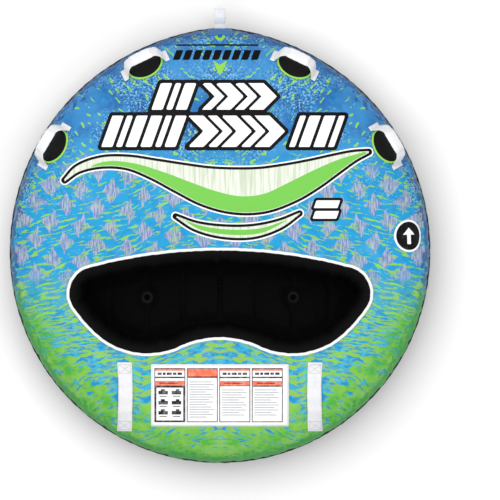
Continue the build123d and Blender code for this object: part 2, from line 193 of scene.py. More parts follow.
# ---- mesh helpers -----------------------------------------------------------
def add(name, data):
    """A new object in the scene."""
    obj = bpy.data.objects.new(name, data)
    bpy.context.scene.collection.objects.link(obj)
    return obj


def make(name, verts, faces, material, replaces=(), body="hull", solid=True, rounded=True):
    """A mesh that rides on a body, of one or more materials given by their keys in MATS.

    replaces names the CAD nodes that it stands for.
    A solid mesh has its faces turned outwards.
    """
    mesh = bpy.data.meshes.new(name)
    mesh.from_pydata([tuple(v) for v in verts], [], [tuple(int(i) for i in f) for f in faces])
    mesh.validate()
    mesh.update()
    if solid:
        work = bmesh.new()
        work.from_mesh(mesh)
        bmesh.ops.recalc_face_normals(work, faces=work.faces)
        work.to_mesh(mesh)
        work.free()
    if rounded:
        mesh.polygons.foreach_set("use_smooth", [True] * len(mesh.polygons))
    obj = add(name, mesh)
    for key in [material] if isinstance(material, str) else material:
        mesh.materials.append(MATS[key])
    if body:
        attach(obj, body)
    if replaces:
        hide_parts(*replaces)
    return obj


def ring_faces(rings, count, closed_across=False):
    """Quads between rings of count points each, every ring closed on itself."""
    i = np.arange(count)
    j = (i + 1) % count
    faces = []
    for k in range(rings if closed_across else rings - 1):
        a = k * count
        b = ((k + 1) % rings) * count
        faces.append(np.stack([a + i, a + j, b + j, b + i], 1))
    return np.concatenate(faces)


def fan(first, count, hub):
    """Triangles from a ring of count points to the point hub in its middle."""
    i = np.arange(count)
    return np.stack([first + i, first + (i + 1) % count, np.full(count, hub)], 1)


def normals_of(points):
    """Normals of a stack of closed rings, shape (rings, count, 3)."""
    along = np.roll(points, -1, 1) - np.roll(points, 1, 1)
    return unit(np.cross(along, np.gradient(points, axis=0)))


def set_attribute(obj, name, values):
    layer = obj.data.attributes.new(name, "FLOAT", "POINT")
    layer.data.foreach_set("value", np.asarray(values, np.float32).ravel())


def thicken(obj, thickness):
    """Give an open sheet its thickness, away from its outer side."""
    mod = obj.modifiers.new("thickness", "SOLIDIFY")
    mod.thickness = thickness
    mod.offset = -1
    mod.use_rim = True
    with bpy.context.temp_override(object=obj, active_object=obj):
        bpy.ops.object.modifier_apply(modifier=mod.name)


def tube(path, radius, sides, squeeze=1.0, up=(0, 0, 1.0)):
    """Vertices and faces of a closed loop of round cord; squeeze flattens it along up."""
    along = unit(np.roll(path, -1, 0) - np.roll(path, 1, 0))
    side = unit(np.cross(along, up))
    top = np.cross(side, along)
    turn = np.linspace(0, 2 * math.pi, sides, endpoint=False)[None, :, None]
    off = np.cos(turn) * side[:, None] + squeeze * np.sin(turn) * top[:, None]
    ring = path[:, None] + radius * off
    return ring.reshape(-1, 3), ring_faces(len(path), sides, closed_across=True)


def border(grid):
    """The border of a grid, once round from its first corner."""
    return np.concatenate([grid[0], grid[1:, -1], grid[-1, -2::-1], grid[-2:0:-1, 0]])


def slab(middle, normal, high, low):
    """A closed sheet on a grid of points, from low to high along the normals there."""
    rows, cols = middle.shape[:2]
    size = rows * cols
    index = np.arange(size).reshape(rows, cols)
    top = np.stack([index[:-1, :-1], index[:-1, 1:], index[1:, 1:], index[1:, :-1]], 2).reshape(-1, 4)
    edge = border(index)
    after = np.roll(edge, -1)
    rim = np.stack([after, edge, size + edge, size + after], 1)
    verts = np.concatenate([middle + normal * np.asarray(off)[..., None] for off in (high, low)])
    return verts.reshape(-1, 3), np.concatenate([top, size + top[:, [0, 3, 2, 1]], rim])


def grid_uv(obj, rows, cols, length, width):
    """UVs in metres for a slab: u along its columns, v across its rows."""
    uv = obj.data.uv_layers.new(name="cloth")
    u, v = np.meshgrid(np.linspace(0, length, cols), np.linspace(0, width, rows))
    flat = np.tile(np.stack([u.ravel(), v.ravel()], 1), (2, 1))
    index = np.zeros(len(obj.data.loops), int)
    obj.data.loops.foreach_get("vertex_index", index)
    uv.data.foreach_set("uv", flat[index].ravel())


THREAD_R = 0.0005
STITCH_ARCH = 1.2                   # the rise of a stitch's middle, in radii
STITCH_RINGS = (0.55, 1.0, 0.55)    # its thickness at start, middle and end, in radii
STITCH_SECTION = ((1, 0), (0.3, 1), (-0.3, 1), (-1, 0), (0, -1))    # across, up
STITCH_FACES = list(ring_faces(3, 5)) + [np.arange(4, -1, -1), np.arange(10, 15)]


def stitches(path, lift, name, thread, body="hull", pitch=0.0052, length=0.0034):
    """A row of sewn stitches along a path; lift is the surface normal at each point."""
    step = np.linalg.norm(np.diff(path, axis=0), axis=1)
    s = np.concatenate([[0], np.cumsum(step)])
    count = max(1, int(s[-1] / pitch))
    middle = (np.arange(count) + 0.5) * s[-1] / count

    def read(values, where):
        return np.stack([np.interp(where, s, values[:, c]) for c in range(3)], 1)

    start, end = read(path, middle - length / 2), read(path, middle + length / 2)
    n = unit(read(lift, middle))
    side = np.cross(unit(end - start), n)
    centres = (start, (start + end) / 2 + n * THREAD_R * STITCH_ARCH, end)
    points = [centre + THREAD_R * swell * (a * side + b * n)
              for centre, swell in zip(centres, STITCH_RINGS) for a, b in STITCH_SECTION]
    verts = np.stack(points, 1).reshape(-1, 3)
    faces = [len(points) * k + f for k in range(count) for f in STITCH_FACES]
    return make(name, verts, faces, thread, body=body)


def box_stitch(points, normals, name, thread, steps, level=False, **size):
    """A sewn box and its two diagonals, steps points each, on a grid of points.

    The diagonals share one row of normals, or where level is true the middle normal.
    """
    rows, cols = points.shape[:2]
    share = np.linspace(0, 1, steps)
    i, j = np.rint(share * (rows - 1)).astype(int), np.rint(share * (cols - 1)).astype(int)
    cross = np.tile(normals[rows // 2, cols // 2], (steps, 1)) if level else normals[i, j]
    path = np.concatenate([looped(border(points)), points[i, j], points[i, j[::-1]]])
    lift = np.concatenate([looped(border(normals)), cross, cross])
    stitches(path, lift, name, thread, **size)


# ---- materials --------------------------------------------------------------
def srgb(r, g, b):
    def lin(c):
        c /= 255
        return c / 12.92 if c <= 0.04045 else ((c + 0.055) / 1.055) ** 2.4
    return (lin(r), lin(g), lin(b), 1.0)


class Shader:
    """A material with short calls for the nodes that this scene uses."""

    def __init__(self, name, color, rough, **sockets):
        self.mat = bpy.data.materials.new(name)
        self.mat.use_nodes = True
        self.nodes = self.mat.node_tree.nodes
        self.links = self.mat.node_tree.links
        self.bsdf = self.nodes["Principled BSDF"]
        self.bsdf.inputs["Base Color"].default_value = color
        self.bsdf.inputs["Roughness"].default_value = rough
        for key, value in sockets.items():
            self.bsdf.inputs[key.replace("_", " ")].default_value = value

    def node(self, kind, **settings):
        n = self.nodes.new(kind)
        for key, value in settings.items():
            setattr(n, key, value)
        return n

    def put(self, value, socket):
        if isinstance(value, bpy.types.NodeSocket):
            self.links.new(value, socket)
        else:
            socket.default_value = value

    def math(self, operation, *values):
        n = self.node("ShaderNodeMath", operation=operation)
        for value, socket in zip(values, n.inputs):
            self.put(value, socket)
        return n.outputs[0]

    def times(self, *values):
        return functools.reduce(lambda a, b: self.math("MULTIPLY", a, b), values)

    def plus(self, *values):
        return functools.reduce(lambda a, b: self.math("ADD", a, b), values)

    def less(self, a, b):
        return self.math("SUBTRACT", a, b)

    def inside(self, name):
        """1 where the distance stored on the mesh as name is below zero."""
        return self.math("LESS_THAN", self.field(name), 0.0)

    def place(self):
        return self.node("ShaderNodeTexCoord").outputs["Object"]

    def uv(self):
        return self.node("ShaderNodeUVMap", uv_map="cloth").outputs[0]

    def split(self, vector):
        n = self.node("ShaderNodeSeparateXYZ")
        self.put(vector, n.inputs[0])
        return n.outputs

    def join(self, x, y, z=0.0):
        n = self.node("ShaderNodeCombineXYZ")
        for value, socket in zip((x, y, z), n.inputs):
            self.put(value, socket)
        return n.outputs[0]

    def noise(self, vector, scale, detail=2.0, rough=0.5):
        n = self.node("ShaderNodeTexNoise")
        self.put(vector, n.inputs["Vector"])
        n.inputs["Scale"].default_value = scale
        n.inputs["Detail"].default_value = detail
        n.inputs["Roughness"].default_value = rough
        return n.outputs[0]

    def cells(self, vector, scale):
        n = self.node("ShaderNodeTexVoronoi")
        self.put(vector, n.inputs["Vector"])
        n.inputs["Scale"].default_value = scale
        return n.outputs["Distance"]

    def span(self, value, low, high, to_low=0.0, to_high=1.0, kind="SMOOTHSTEP"):
        n = self.node("ShaderNodeMapRange", interpolation_type=kind)
        self.put(value, n.inputs["Value"])
        for key, v in (("From Min", low), ("From Max", high), ("To Min", to_low), ("To Max", to_high)):
            self.put(v, n.inputs[key])
        return n.outputs[0]

    def mix(self, share, a, b):
        n = self.node("ShaderNodeMix", data_type="RGBA")
        for value, k in ((share, 0), (a, 6), (b, 7)):
            self.put(value, n.inputs[k])
        return n.outputs[2]

    def over(self, mask, strength, tone, color):
        return self.mix(self.times(mask, strength), tone, color)

    def field(self, name):
        return self.node("ShaderNodeAttribute", attribute_name=name).outputs["Fac"]

    def bump(self, height, strength, distance, after=None):
        n = self.node("ShaderNodeBump")
        n.inputs["Strength"].default_value = strength
        n.inputs["Distance"].default_value = distance
        self.put(height, n.inputs["Height"])
        if after is not None:
            self.put(after, n.inputs["Normal"])
        return n.outputs[0]

    def finish(self, color=None, rough=None, normal=None):
        for value, key in ((color, "Base Color"), (rough, "Roughness"), (normal, "Normal")):
            if value is not None:
                self.put(value, self.bsdf.inputs[key])
        return self.mat


def dimmed(color, share):
    return tuple(c * share for c in color[:3]) + (1.0,)


def weave_height(s, vector, pitch):
    """A plain weave: over and under threads, pitch metres apart."""
    x, y, _ = s.split(vector)
    over = s.math("SINE", s.times(x, math.pi / pitch))
    under = s.math("SINE", s.times(y, math.pi / pitch))
    return s.times(over, under)


def cloth(name, color, rough, pitch, worn=0.12, sheen=0.0, weave=0.35, shine=0.25):
    """Plain woven cloth, with a little soil and wear in its colour."""
    s = Shader(name, color, rough, Sheen_Weight=sheen, Sheen_Roughness=0.5, Specular_IOR_Level=shine)
    p = s.place()
    cloud = s.noise(p, 9, 4, 0.6)
    fine = s.noise(p, 260, 3, 0.6)
    tone = s.mix(s.span(cloud, 0.35, 0.7), color, dimmed(color, 1 - worn))
    tone = s.over(s.span(fine, 0.45, 0.75), 0.35, tone, dimmed(color, 0.8))
    bump = s.bump(weave_height(s, p, pitch), weave, pitch * 0.5)
    bump = s.bump(cloud, 0.15, 0.002, bump)
    return s.finish(tone, s.span(fine, 0.2, 0.8, rough - 0.08, rough + 0.08), bump)


RIB_PITCH, ZIGZAG_W, WARP_PITCH = 0.0022, 0.006, 0.0016


def webbing(name, color, dark):
    """Woven strap: ribs across it in a herringbone, with painted shade in the grooves, and darker
    where it's soiled.
    """
    s = Shader(name, color, 0.72, Sheen_Weight=0.1, Sheen_Roughness=0.5, Specular_IOR_Level=0.3)
    u, v, _ = s.split(s.uv())
    zig = s.math("PINGPONG", s.times(v, 1 / ZIGZAG_W), 1.0)
    turns = s.plus(s.times(u, 1 / RIB_PITCH), zig)
    rib = s.math("SINE", s.times(turns, 2 * math.pi))
    thread = s.math("SINE", s.times(v, 2 * math.pi / WARP_PITCH))
    height = s.plus(s.times(rib, 0.6), s.times(thread, 0.4))
    soil = s.noise(s.place(), 30, 4, 0.6)
    # painted shade: wherever the weave is low the colour goes over to the dark one, as shade in the
    # grooves
    groove = s.span(height, -0.9, 0.1)
    tone = s.mix(groove, dark, color)
    tone = s.over(s.span(soil, 0.5, 0.75), 0.3, tone, dark)
    return s.finish(tone, s.span(soil, 0.3, 0.7, 0.66, 0.8), s.bump(height, 0.5, 0.0006))


def vinyl(name, color, rough=0.38, grain=700, depth=0.2, shine=0.35):
    """Soft extruded or coated vinyl, with a faint grain and handling marks."""
    s = Shader(name, color, rough, Specular_IOR_Level=shine)
    p = s.place()
    grainy = s.noise(p, grain, 2, 0.5)
    marks = s.noise(p, 14, 5, 0.7)
    tone = s.over(s.span(marks, 0.45, 0.75), 0.5, color, dimmed(color, 0.82))
    return s.finish(tone, s.span(marks, 0.3, 0.7, rough - 0.06, rough + 0.12),
                    s.bump(grainy, depth, 0.0004))


def metal(name):
    s = Shader(name, (0.6, 0.6, 0.62, 1), 0.28, Metallic=1.0)
    p = s.place()
    marks = s.noise(p, 300, 4, 0.6)
    return s.finish(None, s.span(marks, 0.3, 0.7, 0.22, 0.42), s.bump(marks, 0.1, 0.0002))


DEEP_BLUE = srgb(36, 100, 164)
SKY_BLUE = srgb(68, 142, 202)
CYAN = srgb(38, 154, 206)
MID_BLUE = srgb(32, 132, 190)
NAVY = srgb(18, 74, 132)
PALE_BLUE = srgb(150, 196, 226)
LIME = srgb(140, 204, 64)
OLIVE = srgb(140, 184, 84)
LEAF = srgb(128, 192, 84)
GREEN = srgb(78, 172, 66)
REAR_BLUE = srgb(34, 140, 196)
REAR_CYAN = srgb(64, 172, 206)
# green of the rear rim's blotches and of its painted shade band
RIM_SHADE_GREEN = srgb(44, 144, 60)
LILAC = srgb(176, 178, 202)
SLATE = srgb(104, 124, 172)
FERN = srgb(118, 196, 82)
INK = srgb(5, 5, 7)
PAPER = srgb(246, 247, 249)


class Print(Shader):
    """The deck's printed cloth, mirrored left to right about its middle."""

    def __init__(self):
        super().__init__("printed_nylon", CYAN, 0.5, Specular_IOR_Level=0.11)
        self.where = self.place()
        self.x, self.y, self.z = self.split(self.where)
        self.side = self.math("ABSOLUTE", self.x)
        self.mirror = self.join(self.side, self.y, self.z)
        self.rim = self.field("rim_in")
        cloud = self.noise(self.mirror, 3.2, 3, 0.55)
        self.fade = self.plus(self.y, self.times(self.less(cloud, 0.5), 0.26))

    def mottle(self, scale, low, high, detail=3):
        """Soft-edged patches of noise."""
        return self.span(self.noise(self.mirror, scale, detail, 0.6), low, high)

    def strokes(self, across, along, shift):
        """Noise drawn out into strokes along the print's leaning, bowed rows."""
        side, y = self.side, self.y
        lean = self.times(self.span(side, 0.0, 0.35, 0.0, 0.24), side, self.span(y, -0.42, -0.25))
        bow = self.times(self.math("COSINE", self.times(side, 9.0)), self.span(side, 0.34, 0.20),
                         self.span(y, -0.28, -0.36, 0.0, 0.045))
        droop = self.times(side, side, self.span(y, -0.30, -0.62, 0.0, -0.42))
        warp = self.times(self.less(self.noise(self.mirror, 12, 2, 0.5), 0.5), 0.03)
        row = self.less(self.plus(y, lean, warp), self.plus(bow, droop))
        place = self.join(self.times(side, across), self.times(row, along), shift)
        return self.noise(place, 1.0, 2.0, 0.5)

    def diamonds(self, width, height, size):
        """Ragged diamonds on a staggered lattice, 1 inside them."""
        sway = self.times(self.less(self.noise(self.mirror, 15, 1, 0.5), 0.5), 0.62)
        across = self.plus(self.times(self.side, 1 / width), sway)
        up = self.times(self.less(self.y, self.times(self.side, 0.12)), 1 / height)
        u = self.less(self.math("FRACT", self.plus(across, up)), 0.5)
        v = self.less(self.math("FRACT", self.less(across, up)), 0.5)
        wide = self.times(self.math("ABSOLUTE", self.plus(u, v)), 0.5)
        tall = self.times(self.math("ABSOLUTE", self.less(u, v)), 0.5)
        star = self.plus(wide, tall, self.times(wide, tall, 2.6))
        grain = self.join(self.times(self.side, 95.0), self.times(self.y, 60.0), 0.0)
        ragged = self.times(self.less(self.noise(grain, 1.0, 3, 0.65), 0.5), 0.42)
        return self.span(self.less(self.plus(size, ragged), star), 0.0, 0.04)


def print_ground(s):
    """Blue mottled with paler blue at the nose, cyan in the middle, green at the rear."""
    front = s.mix(s.mottle(7.5, 0.34, 0.66), DEEP_BLUE, SKY_BLUE)
    tone = s.mix(s.span(s.fade, 0.20, 0.36), CYAN, front)
    tone = s.over(s.mottle(30, 0.45, 0.65), 0.5, tone, MID_BLUE)
    inner = s.mix(s.mottle(24, 0.35, 0.65), OLIVE, LEAF)
    outer = s.mix(s.mottle(20, 0.35, 0.65), LEAF, GREEN)
    return s.mix(s.span(s.fade, -0.10, -0.28), tone, s.mix(s.span(s.rim, 0.17, 0.06), inner, outer))


def print_rear(s, tone):
    """Blue strokes over the green, thinning out towards the rim."""
    near_rim = s.times(s.span(s.rim, 0.14, 0.03, 0.0, 0.13), s.span(s.y, -0.12, -0.42, 0.25, 1.0))
    need = s.plus(near_rim, s.span(s.y, -0.40, -0.70, 0.480, 0.530))
    stroke = s.span(s.less(s.strokes(19.0, 70.0, 9.0), need), -0.010, 0.012)
    blue = s.mix(s.mottle(44, 0.4, 0.6), REAR_BLUE, REAR_CYAN)
    tone = s.over(stroke, s.span(s.fade, -0.08, -0.24), tone, blue)
    dark = s.span(s.strokes(26.0, 90.0, 14.0), 0.60, 0.63)
    return s.over(dark, s.span(s.fade, -0.08, -0.24, 0.0, 0.7), tone, MID_BLUE)


def print_middle(s, tone):
    """Grey diamonds striped up and down, with lime dashes between and over them."""
    grain = s.join(s.times(s.side, 230.0), s.times(s.y, 30.0), 5.0)
    grey = s.mix(s.span(s.noise(grain, 1.0, 2, 0.5), 0.36, 0.64), SLATE, LILAC)
    band = s.times(s.span(s.fade, 0.28, 0.21), s.span(s.fade, -0.17, -0.10))
    diamond = s.times(s.diamonds(0.104, 0.126, 0.36), band)
    tone = s.over(diamond, 0.9, tone, grey)
    need = s.span(s.fade, 0.30, -0.25, 0.615, 0.535, "LINEAR")
    dash = s.span(s.less(s.strokes(23.0, 108.0, 3.0), need), -0.010, 0.012)
    lime = s.mix(s.mottle(40, 0.4, 0.6), OLIVE, LIME)
    dash_band = s.times(s.span(s.fade, 0.34, 0.22), s.span(s.fade, -0.34, -0.20, 0.35, 1.0))
    open_cloth = s.less(1.0, s.times(diamond, 0.5))
    return s.over(s.times(dash, dash_band), s.times(open_cloth, 0.94), tone, lime)


def print_nose(s, tone):
    """Lime flecks, and speckle in drifts, towards the nose."""
    drift = s.noise(s.mirror, 6.0, 2, 0.5)
    slant = s.less(s.y, s.times(s.side, 0.7))
    fleck = s.noise(s.join(s.times(s.side, 42.0), s.times(slant, 64.0), 2.0), 1.0, 1.5, 0.4)
    flecks = s.span(s.plus(fleck, s.times(drift, 0.20)), 0.725, 0.742)
    tone = s.over(s.times(flecks, s.span(s.fade, 0.12, 0.22)), 0.95, tone, LIME)
    near = s.times(s.span(drift, 0.42, 0.58), s.span(s.fade, 0.10, 0.24))
    speck = s.noise(s.mirror, 150, 2, 0.55)
    tone = s.over(s.times(s.span(speck, 0.565, 0.61), near), 0.75, tone, PALE_BLUE)
    tone = s.over(s.times(s.span(speck, 0.45, 0.42), near), 0.8, tone, NAVY)
    drops = s.cells(s.mirror, 105)
    return s.over(s.times(s.span(drops, 0.22, 0.16), near), 0.7, tone, OLIVE)


def rim_blotches_and_painted_shade(s, tone):
    """Dark blotches round the rim, navy at the front and green at the rear, partly print and partly
    painted shade where the cloth turns down to the seam, then painted shade bands on the steep sides.
    """
    front, rear = s.span(s.y, -0.26, -0.10), s.span(s.y, -0.10, -0.26)
    grain = s.noise(s.mirror, 44, 3, 0.6)
    # blotches grow denser towards the rim: printed pattern and painted shade together
    navy = s.plus(grain, s.span(s.rim, 0.075, 0.0, -0.32, 0.10))
    tone = s.over(s.times(s.span(navy, 0.53, 0.58), front), 0.75, tone, NAVY)
    green = s.plus(grain, s.span(s.rim, 0.070, 0.0, -0.32, 0.08))
    tone = s.over(s.times(s.span(green, 0.48, 0.58), rear), 0.7, tone, RIM_SHADE_GREEN)
    # painted shade: navy at the front and green at the rear darken the steep sides next to the seam
    tone = s.over(s.times(s.span(s.rim, 0.020, 0.004), front), 0.4, tone, NAVY)
    return s.over(s.times(s.span(s.rim, 0.030, 0.006), rear), 0.8, tone, RIM_SHADE_GREEN)


def print_artwork(s, tone):
    """The waves, bars and marks, from their distances stored on the mesh."""
    streak = s.noise(s.join(s.times(s.x, 120.0), s.times(s.y, 7.0), 0.0), 1.0, 2, 0.6)
    pale = s.mix(s.span(streak, 0.42, 0.66), srgb(226, 230, 218), srgb(196, 208, 184))
    for name, color in (("halo", PAPER), ("lime_mark", LIME), ("ink", INK), ("pale", pale),
                        ("green", FERN), ("white", PAPER)):
        tone = s.mix(s.inside(name), tone, color)
    return tone


def print_material():
    """The printed deck: a blue to green fade under dashes, diamonds, flecks and artwork."""
    s = Print()
    tone = print_ground(s)
    for layer in (print_rear, print_middle, print_nose, rim_blotches_and_painted_shade):
        tone = layer(s, tone)
    wear = s.noise(s.where, 11, 5, 0.65)
    tone = s.over(s.span(wear, 0.55, 0.8), 0.08, tone, PAPER)
    tone = print_artwork(s, tone)
    bump = s.bump(weave_height(s, s.where, 0.0011), 0.25, 0.0004)
    bump = s.bump(wear, 0.18, 0.003, bump)
    return s.finish(tone, s.span(wear, 0.3, 0.7, 0.44, 0.58), bump)


def flat_ink(name, color):
    """Ink on the label's cloth."""
    s = Shader(name, color, 0.55, Specular_IOR_Level=0.15)
    p = s.place()
    cloud = s.noise(p, 60, 3, 0.6)
    tone = s.over(s.span(cloud, 0.4, 0.7), 0.18, color, PAPER)
    return s.finish(tone, None, s.bump(weave_height(s, p, 0.001), 0.3, 0.0003))


def badge_print():
    """Black and white, from the distance to the badge's ring and arrow."""
    s = Shader("badge_print", INK, 0.5, Specular_IOR_Level=0.12)
    p = s.place()
    tone = s.mix(s.inside("badge"), INK, PAPER)
    cloud = s.noise(p, 40, 3, 0.6)
    tone = s.over(s.span(cloud, 0.5, 0.75), 0.12, tone, srgb(120, 120, 124))
    return s.finish(tone, None, s.bump(weave_height(s, p, 0.0011), 0.3, 0.0004))


MATS = {
    "print": print_material(),
    "base": vinyl("black_tarpaulin", srgb(24, 24, 27), 0.42, 900, 0.35),
    # liner and floor pad: black cloth, made darker still with painted shade of the deep well
    "liner": cloth("black_nylon_and_well_shade", srgb(6, 6, 7), 0.62, 0.0012, shine=0.08),
    "floor": cloth("black_pad_cloth_and_well_shade", srgb(5, 5, 6), 0.66, 0.0014, shine=0.06),
    "neoprene": cloth("neoprene", srgb(9, 9, 11), 0.5, 0.0009, weave=0.5, shine=0.14),
    "white_piping": vinyl("white_vinyl", srgb(244, 245, 246), 0.4),
    "lime_piping": vinyl("lime_vinyl", srgb(150, 214, 78), 0.4),
    "rim_piping": vinyl("black_vinyl", srgb(22, 24, 28), 0.4),
    # the second colour is both the painted groove shade and the soil
    "webbing": webbing("white_webbing", srgb(243, 243, 245), srgb(196, 198, 204)),
    "sleeve": cloth("white_sleeve", srgb(240, 240, 243), 0.66, 0.0016, worn=0.06, sheen=0.15),
    "black_patch": cloth("black_patch", srgb(16, 16, 18), 0.7, 0.0016),
    "nose_patch": cloth("blue_patch", srgb(46, 112, 172), 0.6, 0.0016),
    "label": cloth("label_cloth", srgb(246, 246, 247), 0.6, 0.001, worn=0.04),
    "label_orange": flat_ink("label_orange", srgb(240, 112, 78)),
    "label_black": flat_ink("label_black", srgb(20, 20, 24)),
    "label_grey": flat_ink("label_grey", srgb(170, 172, 178)),
    "label_frame": flat_ink("label_frame", srgb(66, 52, 56)),
    "badge": badge_print(),
    "thread_white": cloth("thread_white", srgb(232, 232, 234), 0.6, 0.0006),
    "thread_black": cloth("thread_black", srgb(24, 24, 26), 0.6, 0.0006),
    "thread_grey": cloth("thread_grey", srgb(150, 152, 158), 0.6, 0.0006),
    # drain eyelets: black plastic darkened down to the well's shade, painted shade
    "drain": vinyl("drain_plastic_and_painted_shade", srgb(6, 6, 7), 0.5, 1200, 0.15, shine=0.08),
    "plastic": vinyl("valve_plastic", srgb(28, 28, 30), 0.35, 1200, 0.15),
    "pvc": vinyl("bladder_vinyl", srgb(70, 76, 86), 0.3, 400, 0.1),
    "tape": cloth("zip_tape", srgb(20, 20, 22), 0.75, 0.0011),
    "hook": cloth("hook_and_loop", srgb(18, 18, 20), 0.9, 0.0016, weave=1.0, sheen=0.1),
    "metal": metal("nickel"),
}


# ---- cover shape ------------------------------------------------------------
CROWN = 0.020           # how far the inflated deck swells above the flat CAD top
CREASES = [  # x0, y0, x1, y1, width, depth: long folds pulled by the front handles
    (-0.505, 0.405, -0.375, 0.478, 0.010, 0.0032),
    (-0.470, 0.360, -0.350, 0.425, 0.014, 0.0018),
    (0.368, 0.520, 0.455, 0.385, 0.010, 0.0034),
    (0.405, 0.530, 0.492, 0.400, 0.012, 0.0030),
    (0.335, 0.470, 0.420, 0.350, 0.014, 0.0020),
    (-0.300, -0.440, -0.150, -0.400, 0.012, 0.0016),
    (0.300, -0.440, 0.150, -0.400, 0.012, 0.0016),
    (-0.560, -0.160, -0.660, -0.130, 0.014, 0.0022),
    (0.560, -0.200, 0.655, -0.200, 0.014, 0.0022),
]
PUCKERS = [  # wavelengths, reach from the seam, share: the long ones reach further
    ((0.021, 0.033, 0.047), 0.012, 0.55),
    ((0.071, 0.113, 0.162), 0.045, 0.75),
]
RIM_RINGS, TOP_RINGS, BASE_RINGS = 38, 92, 60
BASE_MIDDLE = (0.0, -0.02)
SEAM_BAND = 0.007       # the upright strip of cloth beside the rim seam

VALVE = joint("valve_cap_turn")
VALVE_AT = np.array(VALVE["pos_m"])
VALVE_OUT = unit(np.array(VALVE["axis"]))
VALVE_SIDE = np.array([1.0, 0, 0])
VALVE_UP = np.cross(VALVE_OUT, VALVE_SIDE)
VALVE_HOLE = 0.042


def crown(x, y):
    """How much the inflated deck swells above the flat CAD top."""
    rim = smooth(0.07, 0.36, HULL.depth(x, y))
    well = smooth(0.0, 0.16, -WELL.depth(x, y))
    return CROWN * rim * well


def slow_wobble(x, y):
    """The deck's wide, shallow unevenness."""
    return 0.0011 * (np.sin(11 * x + 3) * np.cos(9 * y + 1) + 0.7 * np.sin(23 * x - 17 * y + 2)
                     + 0.5 * np.cos(31 * y + 12 * x))


def crease_drop(x, y):
    """How deep the long folds are, each with a low ridge beside it."""
    drop_by = np.zeros(np.shape(x))
    for x0, y0, x1, y1, width, depth in CREASES:
        dx, dy = x1 - x0, y1 - y0
        size = math.hypot(dx, dy)
        t = ((x - x0) * dx + (y - y0) * dy) / size ** 2
        off = ((x - x0) * dy - (y - y0) * dx) / size + 0.006 * np.sin(t * 5)
        fade = smooth(-0.15, 0.2, t) * smooth(1.15, 0.8, t)
        fold = np.exp(-(off / width) ** 2) - 0.55 * np.exp(-((off - 1.9 * width) / width) ** 2)
        drop_by = drop_by + depth * fade * fold
    return drop_by


def puckers(u, v, seed, size=0.0026):
    """Gathers along a sewn edge: u runs along the seam and v away from it."""
    total = 0
    for k, (lengths, reach, share) in enumerate(PUCKERS):
        total = total + share * waves(u, lengths, seed + k) * (v / reach) * np.exp(1 - v / reach)
    return size * total


def handle_frames():
    """Each handle's place on the rim: origin, along the rim, along the slope, out of it."""
    found = {}
    for name, angle in HANDLES.items():
        outward = [math.cos(math.radians(angle)), math.sin(math.radians(angle)), 0]
        hinge = joint(f"handle_{name}_flop")
        at = np.array(hinge["pos_m"])
        along = unit(np.array(hinge["axis"]))
        flat = np.cross(along, [0, 0, 1.0])
        flat = flat * np.sign(flat @ outward)
        lean = (RIM_R - HULL.depth(at[:1], at[1:2])[0]) / RIM_R
        out = flat * lean + np.array([0, 0, 1.0]) * math.sqrt(1 - lean ** 2)
        found[name] = (at, along, np.cross(out, along), out)
    return found


HANDLE_FRAMES = handle_frames()


CALM_ALONG, CALM_SLOPE = 0.095, 0.060


def calm(p):
    """1 in open cloth, falling to 0 under the handles that are sewn flat on it."""
    keep = np.ones(p.shape[:-1])
    for at, along, slope, _ in HANDLE_FRAMES.values():
        d = p - at
        far = np.sqrt(((d @ along) / CALM_ALONG) ** 2 + ((d @ slope) / CALM_SLOPE) ** 2)
        keep = keep * smooth(0.85, 1.35, far)
    return keep


def calm_below(p):
    """The same for the lower cover, along the zip and under the valve flap."""
    low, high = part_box("zip_tape_lower")[0][2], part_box("zip_tape_upper")[1][2]
    x, y, z = p[..., 0], p[..., 1], p[..., 2]
    zip_band = smooth(low - 0.02, low, z) * smooth(high + 0.02, high, z)
    zip_band = zip_band * smooth(0.02, 0.10, x) * smooth(-0.10, -0.18, y)
    rise = (p - VALVE_AT) @ VALVE_UP
    flap = smooth(0.095, 0.070, np.abs(x - VALVE_AT[0])) * smooth(0.11, 0.09, np.abs(rise))
    return 1 - np.maximum(zip_band, flap * (y < 0))


def rim_profile(top):
    """(distance in from the rim, height) from the seam over the rim to the flat."""
    turn = np.linspace(0, math.pi / 2, RIM_RINGS)
    depth = np.concatenate([[0, 0], RIM_R * (1 - np.cos(turn))])
    z = np.concatenate([[SEAM_Z, SEAM_Z + SEAM_BAND], HEIGHT - RIM_R + RIM_R * np.sin(turn)])
    return depth, (z if top else HEIGHT - z)


def cover_half(top):
    """Rings of points for one cover, their normals, and their places along and off the seam."""
    base, normal = HULL.loop(AROUND)
    depth, z = rim_profile(top)
    rim = np.zeros((len(depth), AROUND, 3))
    rim[:, :, :2] = base[None] - normal[None] * depth[:, None, None]
    rim[:, :, 2] = z[:, None]
    if top:
        inner, _ = WELL.loop(AROUND, WELL_SHARES)
        t = np.arange(1, TOP_RINGS + 1) / TOP_RINGS
    else:
        inner = np.zeros((AROUND, 2)) + BASE_MIDDLE
        t = np.arange(1, BASE_RINGS + 1) / BASE_RINGS * 0.985
    t = t[:, None, None]
    deck = np.zeros((len(t), AROUND, 3))
    deck[:, :, :2] = rim[-1, :, :2][None] * (1 - t) + inner[None] * t
    deck[:, :, 2] = rim[-1, 0, 2]
    points = np.concatenate([rim, deck])
    step = np.linalg.norm(np.diff(points, axis=0), axis=2)
    off_seam = np.concatenate([np.zeros((1, AROUND)), np.cumsum(step, 0)])
    along = np.linspace(0, 2 * HULL.ends[-1], AROUND, endpoint=False)
    n = normals_of(points)
    if n[10, 0, 1] < 0:     # on the rim at the nose, where outwards is +y
        n = -n
    return points, n, np.broadcast_to(along, off_seam.shape), off_seam


def tree_of(obj):
    verts = [v.co.copy() for v in obj.data.vertices]
    return BVHTree.FromPolygons(verts, [tuple(p.vertices) for p in obj.data.polygons])


